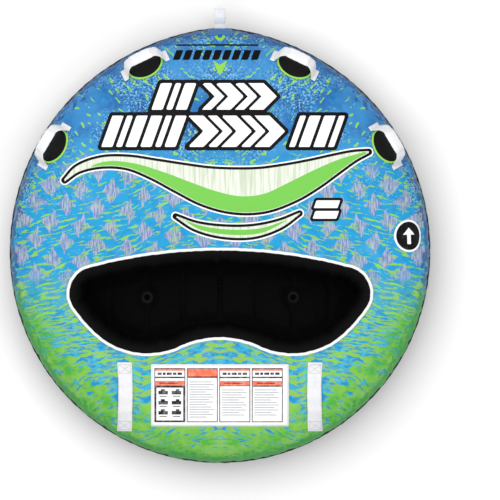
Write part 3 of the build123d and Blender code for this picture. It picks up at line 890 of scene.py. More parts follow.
def build_cover_top():
    p, n, u, v = cover_half(True)
    x, y = p[..., 0], p[..., 1]
    well = np.maximum(-WELL.depth(x, y), 0)
    round_well = np.arctan2(y + 0.2, x) * 0.45
    out = puckers(u, v, 11)
    out = out + smooth(0.06, 0.12, HULL.depth(x, y)) * puckers(round_well, well, 29, 0.0018)
    out = out + slow_wobble(x, y) * smooth(0.0, 0.05, v) * smooth(0.0, 0.03, well)
    out = (out - crease_drop(x, y)) * calm(p)
    p = p + n * out[..., None]
    p[..., 2] += crown(x, y)
    faces = ring_faces(len(p), AROUND)[:, ::-1]
    return make("cover_top_cloth", p.reshape(-1, 3), faces, "print", ["cover_top"],
                solid=False), p


COVER, COVER_POINTS = build_cover_top()
TREE = tree_of(COVER)


# ---- artwork, as distances to its shapes ------------------------------------
SLANT = 0.36            # sideways lean of the bars for each unit of height
BAR_GAP = 12            # this and the other sizes of the artwork are in mm
BIG_OUTLINE, THIN_OUTLINE, HALO = 12, 9, 13.5
UPPER_ROW, LOWER_ROW = (447, 537), (321, 427)
STRIPE, THIN, ARROW, WIDE_ARROW = ("stripe", 38), ("stripe", 20), ("arrow", 32), ("arrow", 52)
BAR_ROWS = [
    (-232, UPPER_ROW, (STRIPE, THIN, STRIPE)),
    (-62, UPPER_ROW, (ARROW, WIDE_ARROW, ARROW, WIDE_ARROW)),
    (-402, LOWER_ROW, (STRIPE, THIN, STRIPE, STRIPE, THIN, STRIPE)),
    (-108, LOWER_ROW, (WIDE_ARROW, ARROW, WIDE_ARROW, ARROW, WIDE_ARROW)),
    (234, LOWER_ROW, (THIN, STRIPE, STRIPE, THIN)),
]
SMALL_BARS = [(318, 398, 114, 140), (314, 394, 78, 104)]
WAVE = [(-526, 208, 3), (-478, 248, 10), (-400, 270, 15), (-310, 268, 19), (-220, 244, 30),
        (-130, 214, 46), (-40, 186, 62), (50, 172, 72), (140, 174, 72), (230, 196, 62),
        (310, 226, 47), (390, 262, 29), (450, 288, 15), (504, 304, 3)]
WAVE_GREEN = [(-516, 212, 3), (-400, 258, 11), (-300, 252, 15), (-200, 218, 20), (-110, 178, 26),
              (-20, 142, 30), (70, 122, 32), (160, 128, 36), (250, 162, 42), (330, 206, 38),
              (410, 256, 24), (492, 300, 5)]
CRESCENT = [(-150, 86, 2), (-80, 52, 11), (10, 34, 17), (110, 34, 18), (200, 58, 12), (270, 96, 2)]
CRESCENT_GREEN = [(-130, 78, 1), (-60, 46, 7), (40, 32, 9), (140, 38, 8), (230, 74, 1)]
NOSE_DASHES, NOSE_DASH_X, NOSE_DASH_STEP, NOSE_DASH_W = 9, -160, 33, 24
NOSE_RING_Y, NOSE_RING_R, NOSE_RING_HALF = 700, 13, 4.5
NOSE_CHEVRONS = ((604, 22), (592, 16), (580, 10))    # height and half width


def polygon_distance(x, y, corners):
    """Signed distance to a polygon with its corners in mm, negative inside."""
    corners = [(px * MM, py * MM) for px, py in corners]
    best = np.full(x.shape, np.inf)
    inside = np.zeros(x.shape, bool)
    for (ax, ay), (bx, by) in zip(corners, corners[1:] + corners[:1]):
        ex, ey = bx - ax, by - ay
        t = np.clip(((x - ax) * ex + (y - ay) * ey) / (ex * ex + ey * ey), 0, 1)
        best = np.minimum(best, np.hypot(x - ax - t * ex, y - ay - t * ey))
        inside ^= ((ay > y) != (by > y)) & (x < ax + (y - ay) * ex / (ey or 1e-12))
    return np.where(inside, -best, best)


def ribbon_distance(x, y, spine):
    """Signed distance to a tapering ribbon through (x, y, half width) points in mm."""
    fine = curve(np.array(spine) * MM, 8 * len(spine))
    best = np.full(x.shape, np.inf)
    for (ax, ay, ar), (bx, by, br) in zip(fine[:-1], fine[1:]):
        ex, ey = bx - ax, by - ay
        s = np.clip(((x - ax) * ex + (y - ay) * ey) / max(ex * ex + ey * ey, 1e-12), 0, 1)
        best = np.minimum(best, np.hypot(x - ax - s * ex, y - ay - s * ey) - (ar + s * (br - ar)))
    return best


def nearest(distance, x, y, shapes):
    """The distance to the nearest of several shapes."""
    best = np.full(x.shape, 1.0)
    for shape in shapes:
        best = np.minimum(best, distance(x, y, shape))
    return best


def block(x0, x1, y0, y1):
    """The corners of an upright bar, leaned over about its foot."""
    lean = SLANT * (y1 - y0)
    return [(x0, y0), (x1, y0), (x1 + lean, y1), (x0 + lean, y1)]


def bar_row(left, foot, head, kinds):
    """The corners of a row of plain slanted stripes and arrowheads."""
    made = []
    deep, middle = 0.5 * (head - foot), (foot + head) / 2
    for kind, wide in kinds:
        right = left + wide
        if kind == "stripe":
            made.append(block(left, right, foot, head))
            left = right + BAR_GAP
        else:
            made.append([(left, foot), (right, foot), (right + deep, middle),
                         (right, head), (left, head), (left + deep, middle)])
            left = right + BAR_GAP + 2
    return made


def paint_cover():
    x, y = COVER_POINTS[..., 0], COVER_POINTS[..., 1]
    bars = [bar for left, row, kinds in BAR_ROWS for bar in bar_row(left, *row, kinds)]
    big = nearest(polygon_distance, x, y, bars)
    small = nearest(polygon_distance, x, y, [block(*bar) for bar in SMALL_BARS])
    shape = nearest(ribbon_distance, x, y, [WAVE, CRESCENT])
    green = nearest(ribbon_distance, x, y, [WAVE_GREEN, CRESCENT_GREEN])
    dashes = [block(-150, 130, 664, 670)]
    for k in range(NOSE_DASHES):
        x0 = NOSE_DASH_X + NOSE_DASH_STEP * k
        dashes.append(block(x0, x0 + NOSE_DASH_W, 616, 650))
    dashes = nearest(polygon_distance, x, y, dashes)
    ring = np.abs(np.hypot(x, y - NOSE_RING_Y * MM) - NOSE_RING_R * MM) - NOSE_RING_HALF * MM
    arms = [[(0, rise - 10, 4), (side * reach / 2, rise - 3, 4), (side * reach, rise + 4, 2)]
            for rise, reach in NOSE_CHEVRONS for side in (-1, 1)]
    fields = {
        "ink": np.minimum.reduce([big - BIG_OUTLINE * MM, small - THIN_OUTLINE * MM,
                                  shape - THIN_OUTLINE * MM, dashes]),
        "white": np.maximum(np.minimum(big, small), THIN_OUTLINE * MM - shape),
        "pale": shape,
        "green": np.maximum(green, shape + 0.002),
        "halo": shape - HALO * MM,
        "lime_mark": np.minimum(ring, nearest(ribbon_distance, x, y, arms)),
        "rim_in": HULL.depth(x, y),
    }
    for name, values in fields.items():
        set_attribute(COVER, name, values)


paint_cover()
thicken(COVER, COVER_T)


# ---- lower cover ------------------------------------------------------------
def lower_surface():
    p, n, u, v = cover_half(False)
    x, y = p[..., 0], p[..., 1]
    out = puckers(u, v, 47) + slow_wobble(x, y) * smooth(0.0, 0.05, v) * 0.8
    out = out * smooth(0.0, 0.02, p[..., 2]) * calm_below(p)
    p = p + n * out[..., None]
    p[..., 2] = np.maximum(p[..., 2], 0.0)
    return p


def cut_round(verts, faces, at, axis, radius):
    """Drop the faces in a round hole and draw its edge onto the circle."""
    verts = verts.copy()
    d = verts - at
    depth = d @ axis
    flat = d - depth[:, None] * axis
    far = np.linalg.norm(flat, axis=1)
    gone = (far < radius) & (np.abs(depth) < 0.06)
    faces = faces[~gone[faces].all(1)]
    used = np.unique(faces)
    move = used[gone[used]]
    verts[move] += flat[move] * (radius / np.maximum(far[move], 1e-6) - 1)[:, None]
    return verts, faces


def build_cover_bottom():
    p = lower_surface()
    verts = np.concatenate([p.reshape(-1, 3), [[*BASE_MIDDLE, 0.0]]])
    verts, quads = cut_round(verts, ring_faces(len(p), AROUND), VALVE_AT, VALVE_OUT, VALVE_HOLE)
    faces = list(quads) + list(fan((len(p) - 1) * AROUND, AROUND, len(verts) - 1))
    return make("cover_bottom_cloth", verts, faces, "base", ["cover_bottom", "cover_side"],
                solid=False)


BASE = build_cover_bottom()
BASE_TREE = tree_of(BASE)
thicken(BASE, COVER_T)


# ---- laying pieces on the cover ---------------------------------------------
def drop(tree, points, direction, reach=0.08):
    """Where rays from reach above each point land on a tree, with the normals there."""
    shape = points.shape
    flat = points.reshape(-1, 3)
    direction = np.broadcast_to(direction, flat.shape)
    hits, normals = np.zeros_like(flat), np.zeros_like(flat)
    for k, (p, d) in enumerate(zip(flat, direction)):
        at, n, _, _ = tree.ray_cast(Vector(p - d * reach), Vector(d), 2.5 * reach)
        if at is None:
            at, n, _, _ = tree.find_nearest(Vector(p))
        if n.dot(Vector(d)) > 0:
            n = -n
        hits[k], normals[k] = at, n
    return hits.reshape(shape), normals.reshape(shape)


def soft_drop(tree, grid, direction, reach=0.08):
    """The same for a grid, its normals averaged so that a laid patch isn't faceted."""
    hit, n = drop(tree, grid, direction, reach)
    for _ in range(3):
        m = n.copy()
        m[1:-1] += n[2:] + n[:-2]
        m[:, 1:-1] += n[:, 2:] + n[:, :-2]
        n = unit(m)
    return hit, n


def sew(tree, points, direction, name, thread, lift=SEAM_LIFT, **size):
    """A row of stitches along a line dropped onto a tree."""
    hit, n = drop(tree, points, direction)
    stitches(hit + n * lift, n, name, thread, **size)


def plane_grid(at, a, b, size_a, size_b, step):
    """An ellipse of grid points on a plane, rows along b and columns along a."""
    cols = max(4, int(2 * size_a / step)) + 1
    rows = max(4, int(2 * size_b / step)) + 1
    s, t = np.meshgrid(np.linspace(-1, 1, cols), np.linspace(-1, 1, rows))
    s, t = s * np.sqrt(1 - t * t / 2), t * np.sqrt(1 - s * s / 2)
    return at + s[..., None] * a * size_a + t[..., None] * b * size_b, s, t


def oval(at, a, b, size_a, size_b, count):
    """A loop of points on an ellipse."""
    turn = np.linspace(0, 2 * math.pi, count, endpoint=False)[:, None]
    return at + np.cos(turn) * a * size_a + np.sin(turn) * b * size_b


# ---- well: lining, floor pad and piping -------------------------------------
LINER_T = 0.0014
LINER_EDGE_Z = HEIGHT - 0.0004
LINER_FOOT_Z = 0.012
LINER_FLAP = 0.003      # how far the lining reaches out under the piping
LINER_SWELL = 0.010     # how far the wall bulges into the well
LINER_FOLD, LINER_SLANT_FOLD, LINER_RIPPLE = 0.0034, 0.002, 0.0009
LINER_FOLD_REACH = 0.31
FLOOR_GAP = 0.004       # between the pad and the lining's wall
FLOOR_MIDDLE = np.array([0.0, -0.150])
FLOOR_FOOT_Z, FLOOR_SHOULDER_Z = 0.003, 0.012
FLOOR_EDGE_Z = FLOOR_TOP - 0.003
FLOOR_PUFF, FLOOR_RIPPLE = 0.010, 0.0008
CHANNEL_PITCH, CHANNEL_HALF, CHANNEL_DEPTH = 0.125, 0.007, 0.007
DRAIN_X, DRAIN_Y, DRAIN_HOLE, DRAIN_DEPTH = 0.250, -0.190, 0.0115, 0.018
WELL_CORD_R, WELL_CORD_SQUEEZE = 0.0050, 0.85
WELL_CORD_Z = HEIGHT + 0.0012
WELL_SEAM_OUT = 0.0095


def build_liner():
    base, normal = WELL.loop(AROUND)
    along = np.linspace(0, 2 * WELL.ends[-1], AROUND, endpoint=False)
    turn = np.linspace(0, math.pi / 2, 14)
    wall_top = LINER_EDGE_Z - LIP_R
    wall_z = np.linspace(wall_top, LINER_FOOT_Z, 34)[1:]
    rise = (wall_top - wall_z) / (wall_top - LINER_FOOT_Z)
    swell = LINER_SWELL * np.sin(np.pi * rise) ** 0.8
    inset = np.concatenate([[-LINER_FLAP], LIP_R * np.sin(turn), LIP_R + swell])
    z = np.concatenate([[LINER_EDGE_Z], LINER_EDGE_Z - LIP_R * (1 - np.cos(turn)), wall_z])
    fold = LINER_FOLD * waves(along, (0.045, 0.071, 0.11, 0.19), 61)
    fold = fold + LINER_RIPPLE * waves(along, (0.019, 0.027), 62)
    slant = waves(along[None] + 0.25 * z[:, None], (0.083, 0.131), 63)
    down = np.clip((LINER_EDGE_Z - z) / LINER_FOLD_REACH, 0, 1)
    amount = 0.4 + 0.6 * np.sin(np.pi * down)
    amount = (smooth(LIP_R * 0.5, LIP_R, inset) * amount)[:, None]
    move = inset[:, None] + amount * fold[None] + LINER_SLANT_FOLD * amount * slant
    p = np.zeros((len(inset), AROUND, 3))
    p[..., :2] = base[None] - normal[None] * move[..., None]
    p[..., 2] = z[:, None]
    faces = ring_faces(len(inset), AROUND)[:, ::-1]
    obj = make("cockpit_liner_cloth", p.reshape(-1, 3), faces, "liner", ["cockpit_liner"],
               solid=False)
    thicken(obj, LINER_T)


def pad_puff(x, y):
    """How far the floor pad stands above its edge: sewn channels, and dips at the drains."""
    depth = WELL.depth(x, y) - LIP_R - FLOOR_GAP
    puff = FLOOR_PUFF * smooth(0.0, 0.05, depth)
    channel = np.abs((x + CHANNEL_PITCH / 2) % CHANNEL_PITCH - CHANNEL_PITCH / 2)
    groove = CHANNEL_DEPTH * np.exp(-(channel / CHANNEL_HALF) ** 2)
    ripple = FLOOR_RIPPLE * waves(x + 0.3 * y, (0.031, 0.052), 71)
    puff = puff - groove * smooth(0.01, 0.05, depth) + ripple * smooth(0.0, 0.03, depth)
    for side in (-1, 1):
        far = np.hypot(x - side * DRAIN_X, y - DRAIN_Y)
        puff = puff * smooth(0.020, 0.050, far)
        puff = np.where(far < DRAIN_HOLE, -DRAIN_DEPTH, puff)
    return puff


def build_floor():
    count = 360
    base, normal = WELL.loop(count)
    outer = base - normal * (LIP_R + FLOOR_GAP)
    share = np.concatenate([[1.0, 1.0, 0.995], np.linspace(0.985, 0.04, 44)])
    p = np.zeros((len(share), count, 3))
    p[..., :2] = FLOOR_MIDDLE + (outer - FLOOR_MIDDLE)[None] * share[:, None, None]
    p[..., 2] = FLOOR_EDGE_Z + pad_puff(p[..., 0], p[..., 1])
    p[0, :, 2] = FLOOR_FOOT_Z
    p[1, :, 2] = FLOOR_SHOULDER_Z
    hubs = [[*FLOOR_MIDDLE, p[-1, :, 2].mean()], [*FLOOR_MIDDLE, FLOOR_FOOT_Z]]
    verts = np.concatenate([p.reshape(-1, 3), hubs])
    last, hub = (len(share) - 1) * count, len(verts) - 2
    faces = list(ring_faces(len(share), count)) + list(fan(last, count, hub))
    faces += list(fan(0, count, hub + 1)[:, ::-1])
    pad = make("cockpit_floor_pad", verts, faces, "floor", ["cockpit_floor"])


def build_well_piping():
    count = 560
    base, normal = WELL.loop(count)
    along = np.linspace(0, 2 * WELL.ends[-1], count, endpoint=False)
    wobble = 0.0005 * waves(along, (0.03, 0.05, 0.11), 81)
    path = raised(base + normal * wobble[:, None], WELL_CORD_Z)
    path[:, 2] += 0.0003 * waves(along, (0.04, 0.09), 82)
    verts, faces = tube(path, WELL_CORD_R, 14, squeeze=WELL_CORD_SQUEEZE)
    make("cockpit_piping_cord", verts, faces, "white_piping", ["cockpit_piping"])
    seam = raised(base + normal * WELL_SEAM_OUT, HEIGHT)
    sew(TREE, looped(seam), DOWN, "well_stitching", GREY)


build_liner()
build_floor()
build_well_piping()


# ---- rim piping and its stitching -------------------------------------------
RIM_CORD_R = 0.0040
RIM_SEAM_OFF = 0.0105


def build_rim_piping():
    count = 900
    base, normal = HULL.loop(count)
    along = np.linspace(0, 2 * HULL.ends[-1], count, endpoint=False)
    sway = waves(along, (0.033, 0.047, 0.071), 11)
    path = raised(base + normal * (0.0004 + 0.0005 * sway)[:, None], SEAM_Z)
    path[:, 2] += 0.0008 * waves(along, (0.05, 0.09, 0.17), 91)
    verts, faces = tube(path, RIM_CORD_R, 12)
    make("rim_piping_cord", verts, faces, "rim_piping", ["rim_piping"])


def build_rim_stitching():
    base, normal = HULL.loop(700)
    inward = looped(raised(-normal, 0.0))
    for word, tree, rise in (("top", TREE, RIM_SEAM_OFF), ("base", BASE_TREE, -RIM_SEAM_OFF)):
        sew(tree, looped(raised(base, SEAM_Z + rise)), inward, f"rim_stitching_{word}", BLACK,
            pitch=0.0058, length=0.004)


build_rim_piping()
build_rim_stitching()


# ---- bladder ----------------------------------------------------------------
BLADDER_SLACK = 0.009


def build_bladder():
    """The air chamber, a smooth ring a little slack inside its cover."""
    count = 240
    base, normal = HULL.loop(count)
    inner, inner_n = WELL.loop(count, WELL_SHARES)
    r, lip = RIM_R - BLADDER_SLACK, LIP_R - BLADDER_SLACK
    rim, wall = [], []
    for turn in np.linspace(-math.pi / 2, math.pi / 2, 17):
        inset = BLADDER_SLACK + r * (1 - math.cos(turn))
        middle = HEIGHT - RIM_R if turn > 0 else RIM_R
        rim.append(raised(base - normal * inset, middle + r * math.sin(turn)))
    for turn in np.linspace(0, math.pi / 2, 7):
        inset = lip * math.sin(turn)
        wall.append(raised(inner - inner_n * inset, HEIGHT - LIP_R + lip * math.cos(turn)))
    wall += [raised(inner - inner_n * lip, z) for z in (0.16, 0.05, BLADDER_SLACK)]
    shares = np.linspace(0.12, 0.88, 7)
    across = [rim[-1] * (1 - t) + wall[0] * t for t in shares]
    under = [wall[-1] * (1 - t) + rim[0] * t for t in shares]
    p = np.stack(rim + across + wall + under)
    make("air_chamber", p.reshape(-1, 3), ring_faces(len(p), count, closed_across=True), "pvc",
         ["bladder"])


build_bladder()


# ---- carry handles ----------------------------------------------------------
PAD_A, PAD_B = 0.0585, 0.0435       # half its length and half its width
PAD_EDGE, PAD_PUFF = 0.0012, 0.0072
PAD_CORD_R = 0.0034
PAD_SEAM_OUT = 0.0105
STRAP_W, NECK_W = 0.046, 0.037
# along the rim and out of it, from one sewn end to the middle
STRAP_KNOTS = [(-0.0845, -0.0012), (-0.0760, 0.0006), (-0.0695, 0.0045), (-0.0640, 0.0190),
               (-0.0570, 0.0370), (-0.0430, 0.0480), (-0.0200, 0.0505), (0.0, 0.0508)]
STRAP_ROWS, STRAP_LENGTH = 9, 0.27
STRAP_HALF_T, STRAP_LIFT = 0.0012, 0.0022
BOX_FROM, BOX_TO = 0.0712, 0.0838   # along the strap, from its middle
GRIP_HALF, GRIP_HALF_W, GRIP_HALF_T = 0.0405, 0.0212, 0.0082
GRIP_RINGS, GRIP_AROUND = 33, 28


def thin_edges(v, half_t, share):
    """Half a webbing's thickness across its width, v from -1 to 1."""
    return half_t * (1 - share * np.abs(v) ** 8)


def build_pad(name, at, along, slope, out):
    """The knuckle pad, a puffed oval of neoprene over foam, with piping round it and a seam."""
    grid, s, t = plane_grid(at, along, slope, PAD_A, PAD_B, 0.0035)
    puff = PAD_EDGE + PAD_PUFF * np.clip(1 - np.hypot(s, t) ** 3.2, 0, 1) ** 0.7
    verts, faces = slab(*soft_drop(TREE, grid, -out), puff, SHEET_LOW)
    pad = make(f"knuckle_pad_{name}_foam", verts, faces, "neoprene", [f"knuckle_pad_{name}"])
    out_by = PAD_CORD_R * 0.8
    hit, n = drop(TREE, oval(at, along, slope, PAD_A + out_by, PAD_B + out_by, 96), -out)
    verts, faces = tube(hit + n * PAD_CORD_R * 0.55, PAD_CORD_R, 10, up=n)
    make(f"knuckle_piping_{name}_cord", verts, faces, "lime_piping", [f"knuckle_piping_{name}"])
    seam = looped(oval(at, along, slope, PAD_A + PAD_SEAM_OUT, PAD_B + PAD_SEAM_OUT, 96))
    sew(TREE, seam, -out, f"pad_stitching_{name}", GREY, pitch=0.0055)


def build_webbing(name, at, along, slope, out):
    """One strap from sewn end to sewn end, narrowed where it enters the grip."""
    line = curve(STRAP_KNOTS + [(-a, b) for a, b in STRAP_KNOTS[-2::-1]], 121)
    reach = np.abs(line[:, 0])
    half = np.interp(reach, [0.040, 0.060], [NECK_W / 2, STRAP_W / 2])
    tangent = unit(np.gradient(line, axis=0))
    v = np.linspace(-1, 1, STRAP_ROWS)[:, None]
    centre = at + line[:, :1] * along + line[:, 1:] * out
    free_n = tangent[:, :1] * out - tangent[:, 1:] * along
    grid = centre[None] + v[..., None] * half[None, :, None] * slope
    hit, n = drop(TREE, grid, -out)
    free = smooth(0.0715, 0.0660, reach)[None, :, None]
    mid = (hit + n * STRAP_LIFT) * (1 - free) + grid * free
    n = unit(n * (1 - free) + free_n[None] * free)
    thick = thin_edges(v, STRAP_HALF_T, 0.35)
    verts, faces = slab(mid, n, thick, -thick)
    strap = make(f"handle_webbing_{name}", verts, faces, "webbing",
                 [f"handle_strap_{name}", f"handle_tab_{name}_a", f"handle_tab_{name}_b"],
                 body=None)
    grid_uv(strap, STRAP_ROWS, len(line), STRAP_LENGTH, STRAP_W)
    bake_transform(strap)
    for side, letter in ((-1, "a"), (1, "b")):
        ends = (line[:, 0] * side > BOX_FROM) & (line[:, 0] * side < BOX_TO)
        box, box_n = mid[1:-1, ends], n[1:-1, ends]
        box_stitch(box + box_n * 0.0013, box_n, f"handle_box_{name}_{letter}", WHITE, 7,
                   pitch=0.0042, length=0.003)


def build_grip(name, at, along, slope, out):
    """A sleeve sewn over foam, gathered at its ends."""
    reach = np.linspace(-GRIP_HALF, GRIP_HALF, GRIP_RINGS)
    edge = np.abs(reach) / GRIP_HALF
    wide = GRIP_HALF_W * (1 - 0.10 * edge ** 8) + 0.0004 * waves(reach, (0.017, 0.026), 5)
    tall = GRIP_HALF_T * (1 - 0.35 * edge ** 6)
    lift = HANDLE_RISE + 0.0008 - 0.0012 * edge ** 2
    turn = np.linspace(0, 2 * math.pi, GRIP_AROUND, endpoint=False)
    across = np.sign(np.cos(turn)) * np.abs(np.cos(turn)) ** 0.8
    up = np.sign(np.sin(turn)) * np.abs(np.sin(turn)) ** 0.9
    axis = at + reach[:, None] * along + lift[:, None] * out
    ring = (axis[:, None] + (wide[:, None] * across)[..., None] * slope
            + (tall[:, None] * up)[..., None] * out)
    caps = [axis[0] + along * 0.002, axis[-1] - along * 0.002]
    verts = np.concatenate([ring.reshape(-1, 3), caps])
    hub = len(verts) - 2
    faces = list(ring_faces(GRIP_RINGS, GRIP_AROUND)) + list(fan(0, GRIP_AROUND, hub)[:, ::-1])
    faces += list(fan(hub - GRIP_AROUND, GRIP_AROUND, hub + 1))
    body = f"handle_{name}"
    grip = make(f"handle_grip_{name}_sleeve", verts, faces, "sleeve", [f"handle_grip_{name}"],
                body=body)
    for k, letter in ((2, "a"), (-3, "b")):
        n = looped(unit(ring[k] - axis[k]))
        stitches(looped(ring[k]) + n * SEAM_LIFT, n, f"grip_stitching_{name}_{letter}", GREY, body,
                 0.004, 0.0028)


for handle, place in HANDLE_FRAMES.items():
    build_pad(handle, *place)
    build_webbing(handle, *place)
    build_grip(handle, *place)


# ---- rear straps ------------------------------------------------------------
REAR_X, REAR_HALF_W = 0.323, 0.0248
REAR_Y = (-0.641, -0.409)
REAR_COLS, REAR_ROWS, REAR_LENGTH = 90, 11, 0.25
REAR_HALF_T, REAR_LIFT = 0.0013, 0.0017
REAR_BOWED = 0.004      # how far its middle sags towards the label
REAR_SLACK, REAR_RIPPLE = 0.0050, 0.0012


def build_rear_strap(side, word):
    y = np.linspace(*REAR_Y, REAR_COLS)
    share = np.linspace(0, 1, REAR_COLS)
    arch = np.sin(np.pi * share)
    v = np.linspace(-1, 1, REAR_ROWS)[:, None]
    grid = np.zeros((REAR_ROWS, REAR_COLS, 3))
    grid[..., 0] = side * (REAR_X - REAR_BOWED * arch) + v * REAR_HALF_W * (1 - 0.04 * arch)
    grid[..., 1] = y
    grid[..., 2] = HEIGHT
    hit, n = soft_drop(TREE, grid, DOWN)
    loose = smooth(0.16, 0.34, share) * smooth(0.84, 0.66, share)
    lift = REAR_LIFT + loose * (REAR_SLACK + REAR_RIPPLE * np.sin(9 * share * math.pi))
    mid = hit + n * lift[None, :, None]
    thick = thin_edges(v, REAR_HALF_T, 0.35)
    verts, faces = slab(mid, n, thick, -thick)
    obj = make(f"rear_strap_{word}_webbing", verts, faces, "webbing", [f"rear_strap_{word}"])
    grid_uv(obj, REAR_ROWS, REAR_COLS, REAR_LENGTH, 2 * REAR_HALF_W)
    for columns, end in ((slice(2, 14), "rear"), (slice(-15, -3), "front")):
        box, box_n = mid[1:-1, columns], n[1:-1, columns]
        box_stitch(box + box_n * 0.0014, box_n, f"rear_strap_{word}_box_{end}", GREY, 14, level=True)


build_rear_strap(-1, "left")
build_rear_strap(1, "right")


# ---- label panel, in mm -----------------------------------------------------
WHITE_INK, ORANGE_INK, BLACK_INK, GREY_INK, FRAME_INK = range(5)
LABEL_INKS = ["label", "label_orange", "label_black", "label_grey", "label_frame"]
LABEL_X, LABEL_Y = (-233.0, 233.0), (-625.0, -415.0)
LABEL_SEAM_IN = 4
LABEL_CELL = 7.0
LABEL_HIGH = 0.0013                 # its upper side off the cover, in metres
COLUMN_STARTS, COLUMN_W = (-222, -112, -2, 108), 105
COLUMN_TOP, COLUMN_BOTTOM = -428, -611
COLUMN_LINE = 3
TEXT_PITCH, TEXT_H = 8.5, 3.2
TEXT_SHORT = (12, 4, 20, 6, 30)     # how far the lines of text stop short of the column


def label_header(x0, x1, top, under):
    """A white heading with plain dashes, a dark rule and an orange bar."""
    found = [(x0, x1, top - 6, top, ORANGE_INK), (x0, x1, top - 31, top - 26, BLACK_INK)]
    left = x0 + 8
    for long in (14, 9, 17, 12, 15):
        found.append((left, left + long, top - 20, top - 12, BLACK_INK))
        left += long + 4
    return found + [(x0, x1, top - 56, top - 40, ORANGE_INK),
                    (x0 + 14, x1 - 22, top - 50, top - 46, FRAME_INK),
                    (x0, x1, top - 56 - under, top - 56, BLACK_INK)]


def label_shapes(x0, x1, top, bottom):
    """A dark frame round six plain low shapes."""
    found = [(x0, x1, bottom, top, BLACK_INK), (x0 + 4, x1 - 4, bottom + 5, top - 4, WHITE_INK)]
    for row in range(3):
        for col in range(2):
            cx, cy = x0 + 27 + 45 * col, top - 20 - 34 * row
            found += [(cx - 16, cx + 16, cy - 7, cy + 5, BLACK_INK),
                      (cx - 8 + 6 * col, cx + 6 + 4 * col, cy - 1, cy + 11, BLACK_INK),
                      (cx - 12, cx + 12, cy - 15, cy - 12, FRAME_INK)]
    return found


def label_rectangles():
    """Plain blocks and lines on the label: (x0, x1, y0, y1, ink), later ones on top."""
    found = []
    for k, x0 in enumerate(COLUMN_STARTS):
        x1 = x0 + COLUMN_W
        found.append((x0, x1, COLUMN_BOTTOM, COLUMN_TOP, BLACK_INK if k == 3 else FRAME_INK))
        left, right = x0 + COLUMN_LINE, x1 - COLUMN_LINE
        bottom, top = COLUMN_BOTTOM + COLUMN_LINE, COLUMN_TOP - COLUMN_LINE
        found.append((left, right, bottom, top, WHITE_INK))
        if k == 1:
            found += [(left, right, top - 25, top, ORANGE_INK),
                      (left, right, top - 30, top - 25, BLACK_INK)]
        else:
            found += label_header(left, right, top, (3, 0, 2, 4)[k])
        if k == 0:
            found += label_shapes(left, right, top - 59, bottom - 2)
            continue
        first = COLUMN_TOP - (45 if k == 1 else 72)
        for n in range(int((first - COLUMN_BOTTOM - 10) / TEXT_PITCH)):
            y = first - TEXT_PITCH * n
            found.append((left + 6, right - 6 - TEXT_SHORT[n % 5], y - TEXT_H, y, GREY_INK))
    return found


def grid_lines(edges, step):
    """Grid lines at every edge, with more between them no further apart than step."""
    lines = []
    for v in sorted(edges):
        if not lines:
            lines.append(v)
        elif v - lines[-1] >= 0.3:
            count = math.ceil((v - lines[-1]) / step)
            lines += list(np.linspace(lines[-1], v, count + 1)[1:])
    return np.array(lines)


def build_label():
    rects = np.array(label_rectangles(), float)
    x = grid_lines({*LABEL_X, *rects[:, 0], *rects[:, 1]}, LABEL_CELL)
    y = grid_lines({*LABEL_Y, *rects[:, 2], *rects[:, 3]}, LABEL_CELL)
    grid = np.stack([*np.meshgrid(x * MM, y * MM), np.full((len(y), len(x)), HEIGHT)], 2)
    verts, faces = slab(*soft_drop(TREE, grid, DOWN), LABEL_HIGH, SHEET_LOW)
    obj = make("label_panel_cloth", verts, faces, LABEL_INKS, ["label_panel"])
    centres = np.zeros(len(obj.data.polygons) * 3)
    obj.data.polygons.foreach_get("center", centres)
    cx, cy, _ = centres.reshape(-1, 3).T / MM
    ink = np.zeros(len(cx), int)
    for x0, x1, y0, y1, which in rects:
        ink[(cx > x0) & (cx < x1) & (cy > y0) & (cy < y1)] = which
    obj.data.polygons.foreach_set("material_index", ink)
    (x0, x1), (y0, y1) = LABEL_X, LABEL_Y
    x0, x1, y0, y1 = x0 + LABEL_SEAM_IN, x1 - LABEL_SEAM_IN, y0 + LABEL_SEAM_IN, y1 - LABEL_SEAM_IN
    corners = raised(np.array([(x0, y0), (x1, y0), (x1, y1), (x0, y1), (x0, y0)]) * MM, HEIGHT)
    share = np.linspace(0, 1, 60)[:, None]
    seam = [a * (1 - share) + b * share for a, b in zip(corners[:-1], corners[1:])]
    sew(TREE, np.concatenate(seam), DOWN, "label_stitching", GREY, lift=LABEL_HIGH + SEAM_LIFT)


build_label()


# ---- side badge, with an arrow that points to the nose ----------------------
BADGE_AT = np.array([0.642, 0.020, HEIGHT - 0.02])
BADGE_FACES = np.array([1.0, 0.03, 0])
BADGE_LEAN = 0.50
BADGE_R, BADGE_RING_IN, BADGE_HIGH, BADGE_CELL = 0.055, 0.048, 0.0010, 0.0016
ARROW_TIP, ARROW_NECK, ARROW_SHAFT_HALF = 0.028, 0.004, 0.0075


def build_badge():
    out = unit(BADGE_FACES) * BADGE_LEAN + np.array([0, 0, 1]) * math.sqrt(1 - BADGE_LEAN ** 2)
    along = unit(np.cross([0, 0, 1.0], out))
    slope = np.cross(out, along)
    on, _ = drop(TREE, BADGE_AT[None], -out)
    grid, s, t = plane_grid(on[0], along, slope, BADGE_R, BADGE_R, BADGE_CELL)
    verts, faces = slab(*soft_drop(TREE, grid, -out), BADGE_HIGH, SHEET_LOW)
    obj = make("side_badge_cloth", verts, faces, "badge", ["side_badge"])
    side, nose = np.abs(t) * BADGE_R, s * BADGE_R
    ring = BADGE_RING_IN - np.hypot(side, nose)
    head = np.maximum((side + nose - ARROW_TIP) / math.sqrt(2), ARROW_NECK - nose)
    shaft = np.maximum(side - ARROW_SHAFT_HALF, np.maximum(nose - ARROW_NECK, -ARROW_TIP - nose))
    mark = np.minimum(ring, np.minimum(head, shaft))
    set_attribute(obj, "badge", np.tile(mark.ravel(), 2))


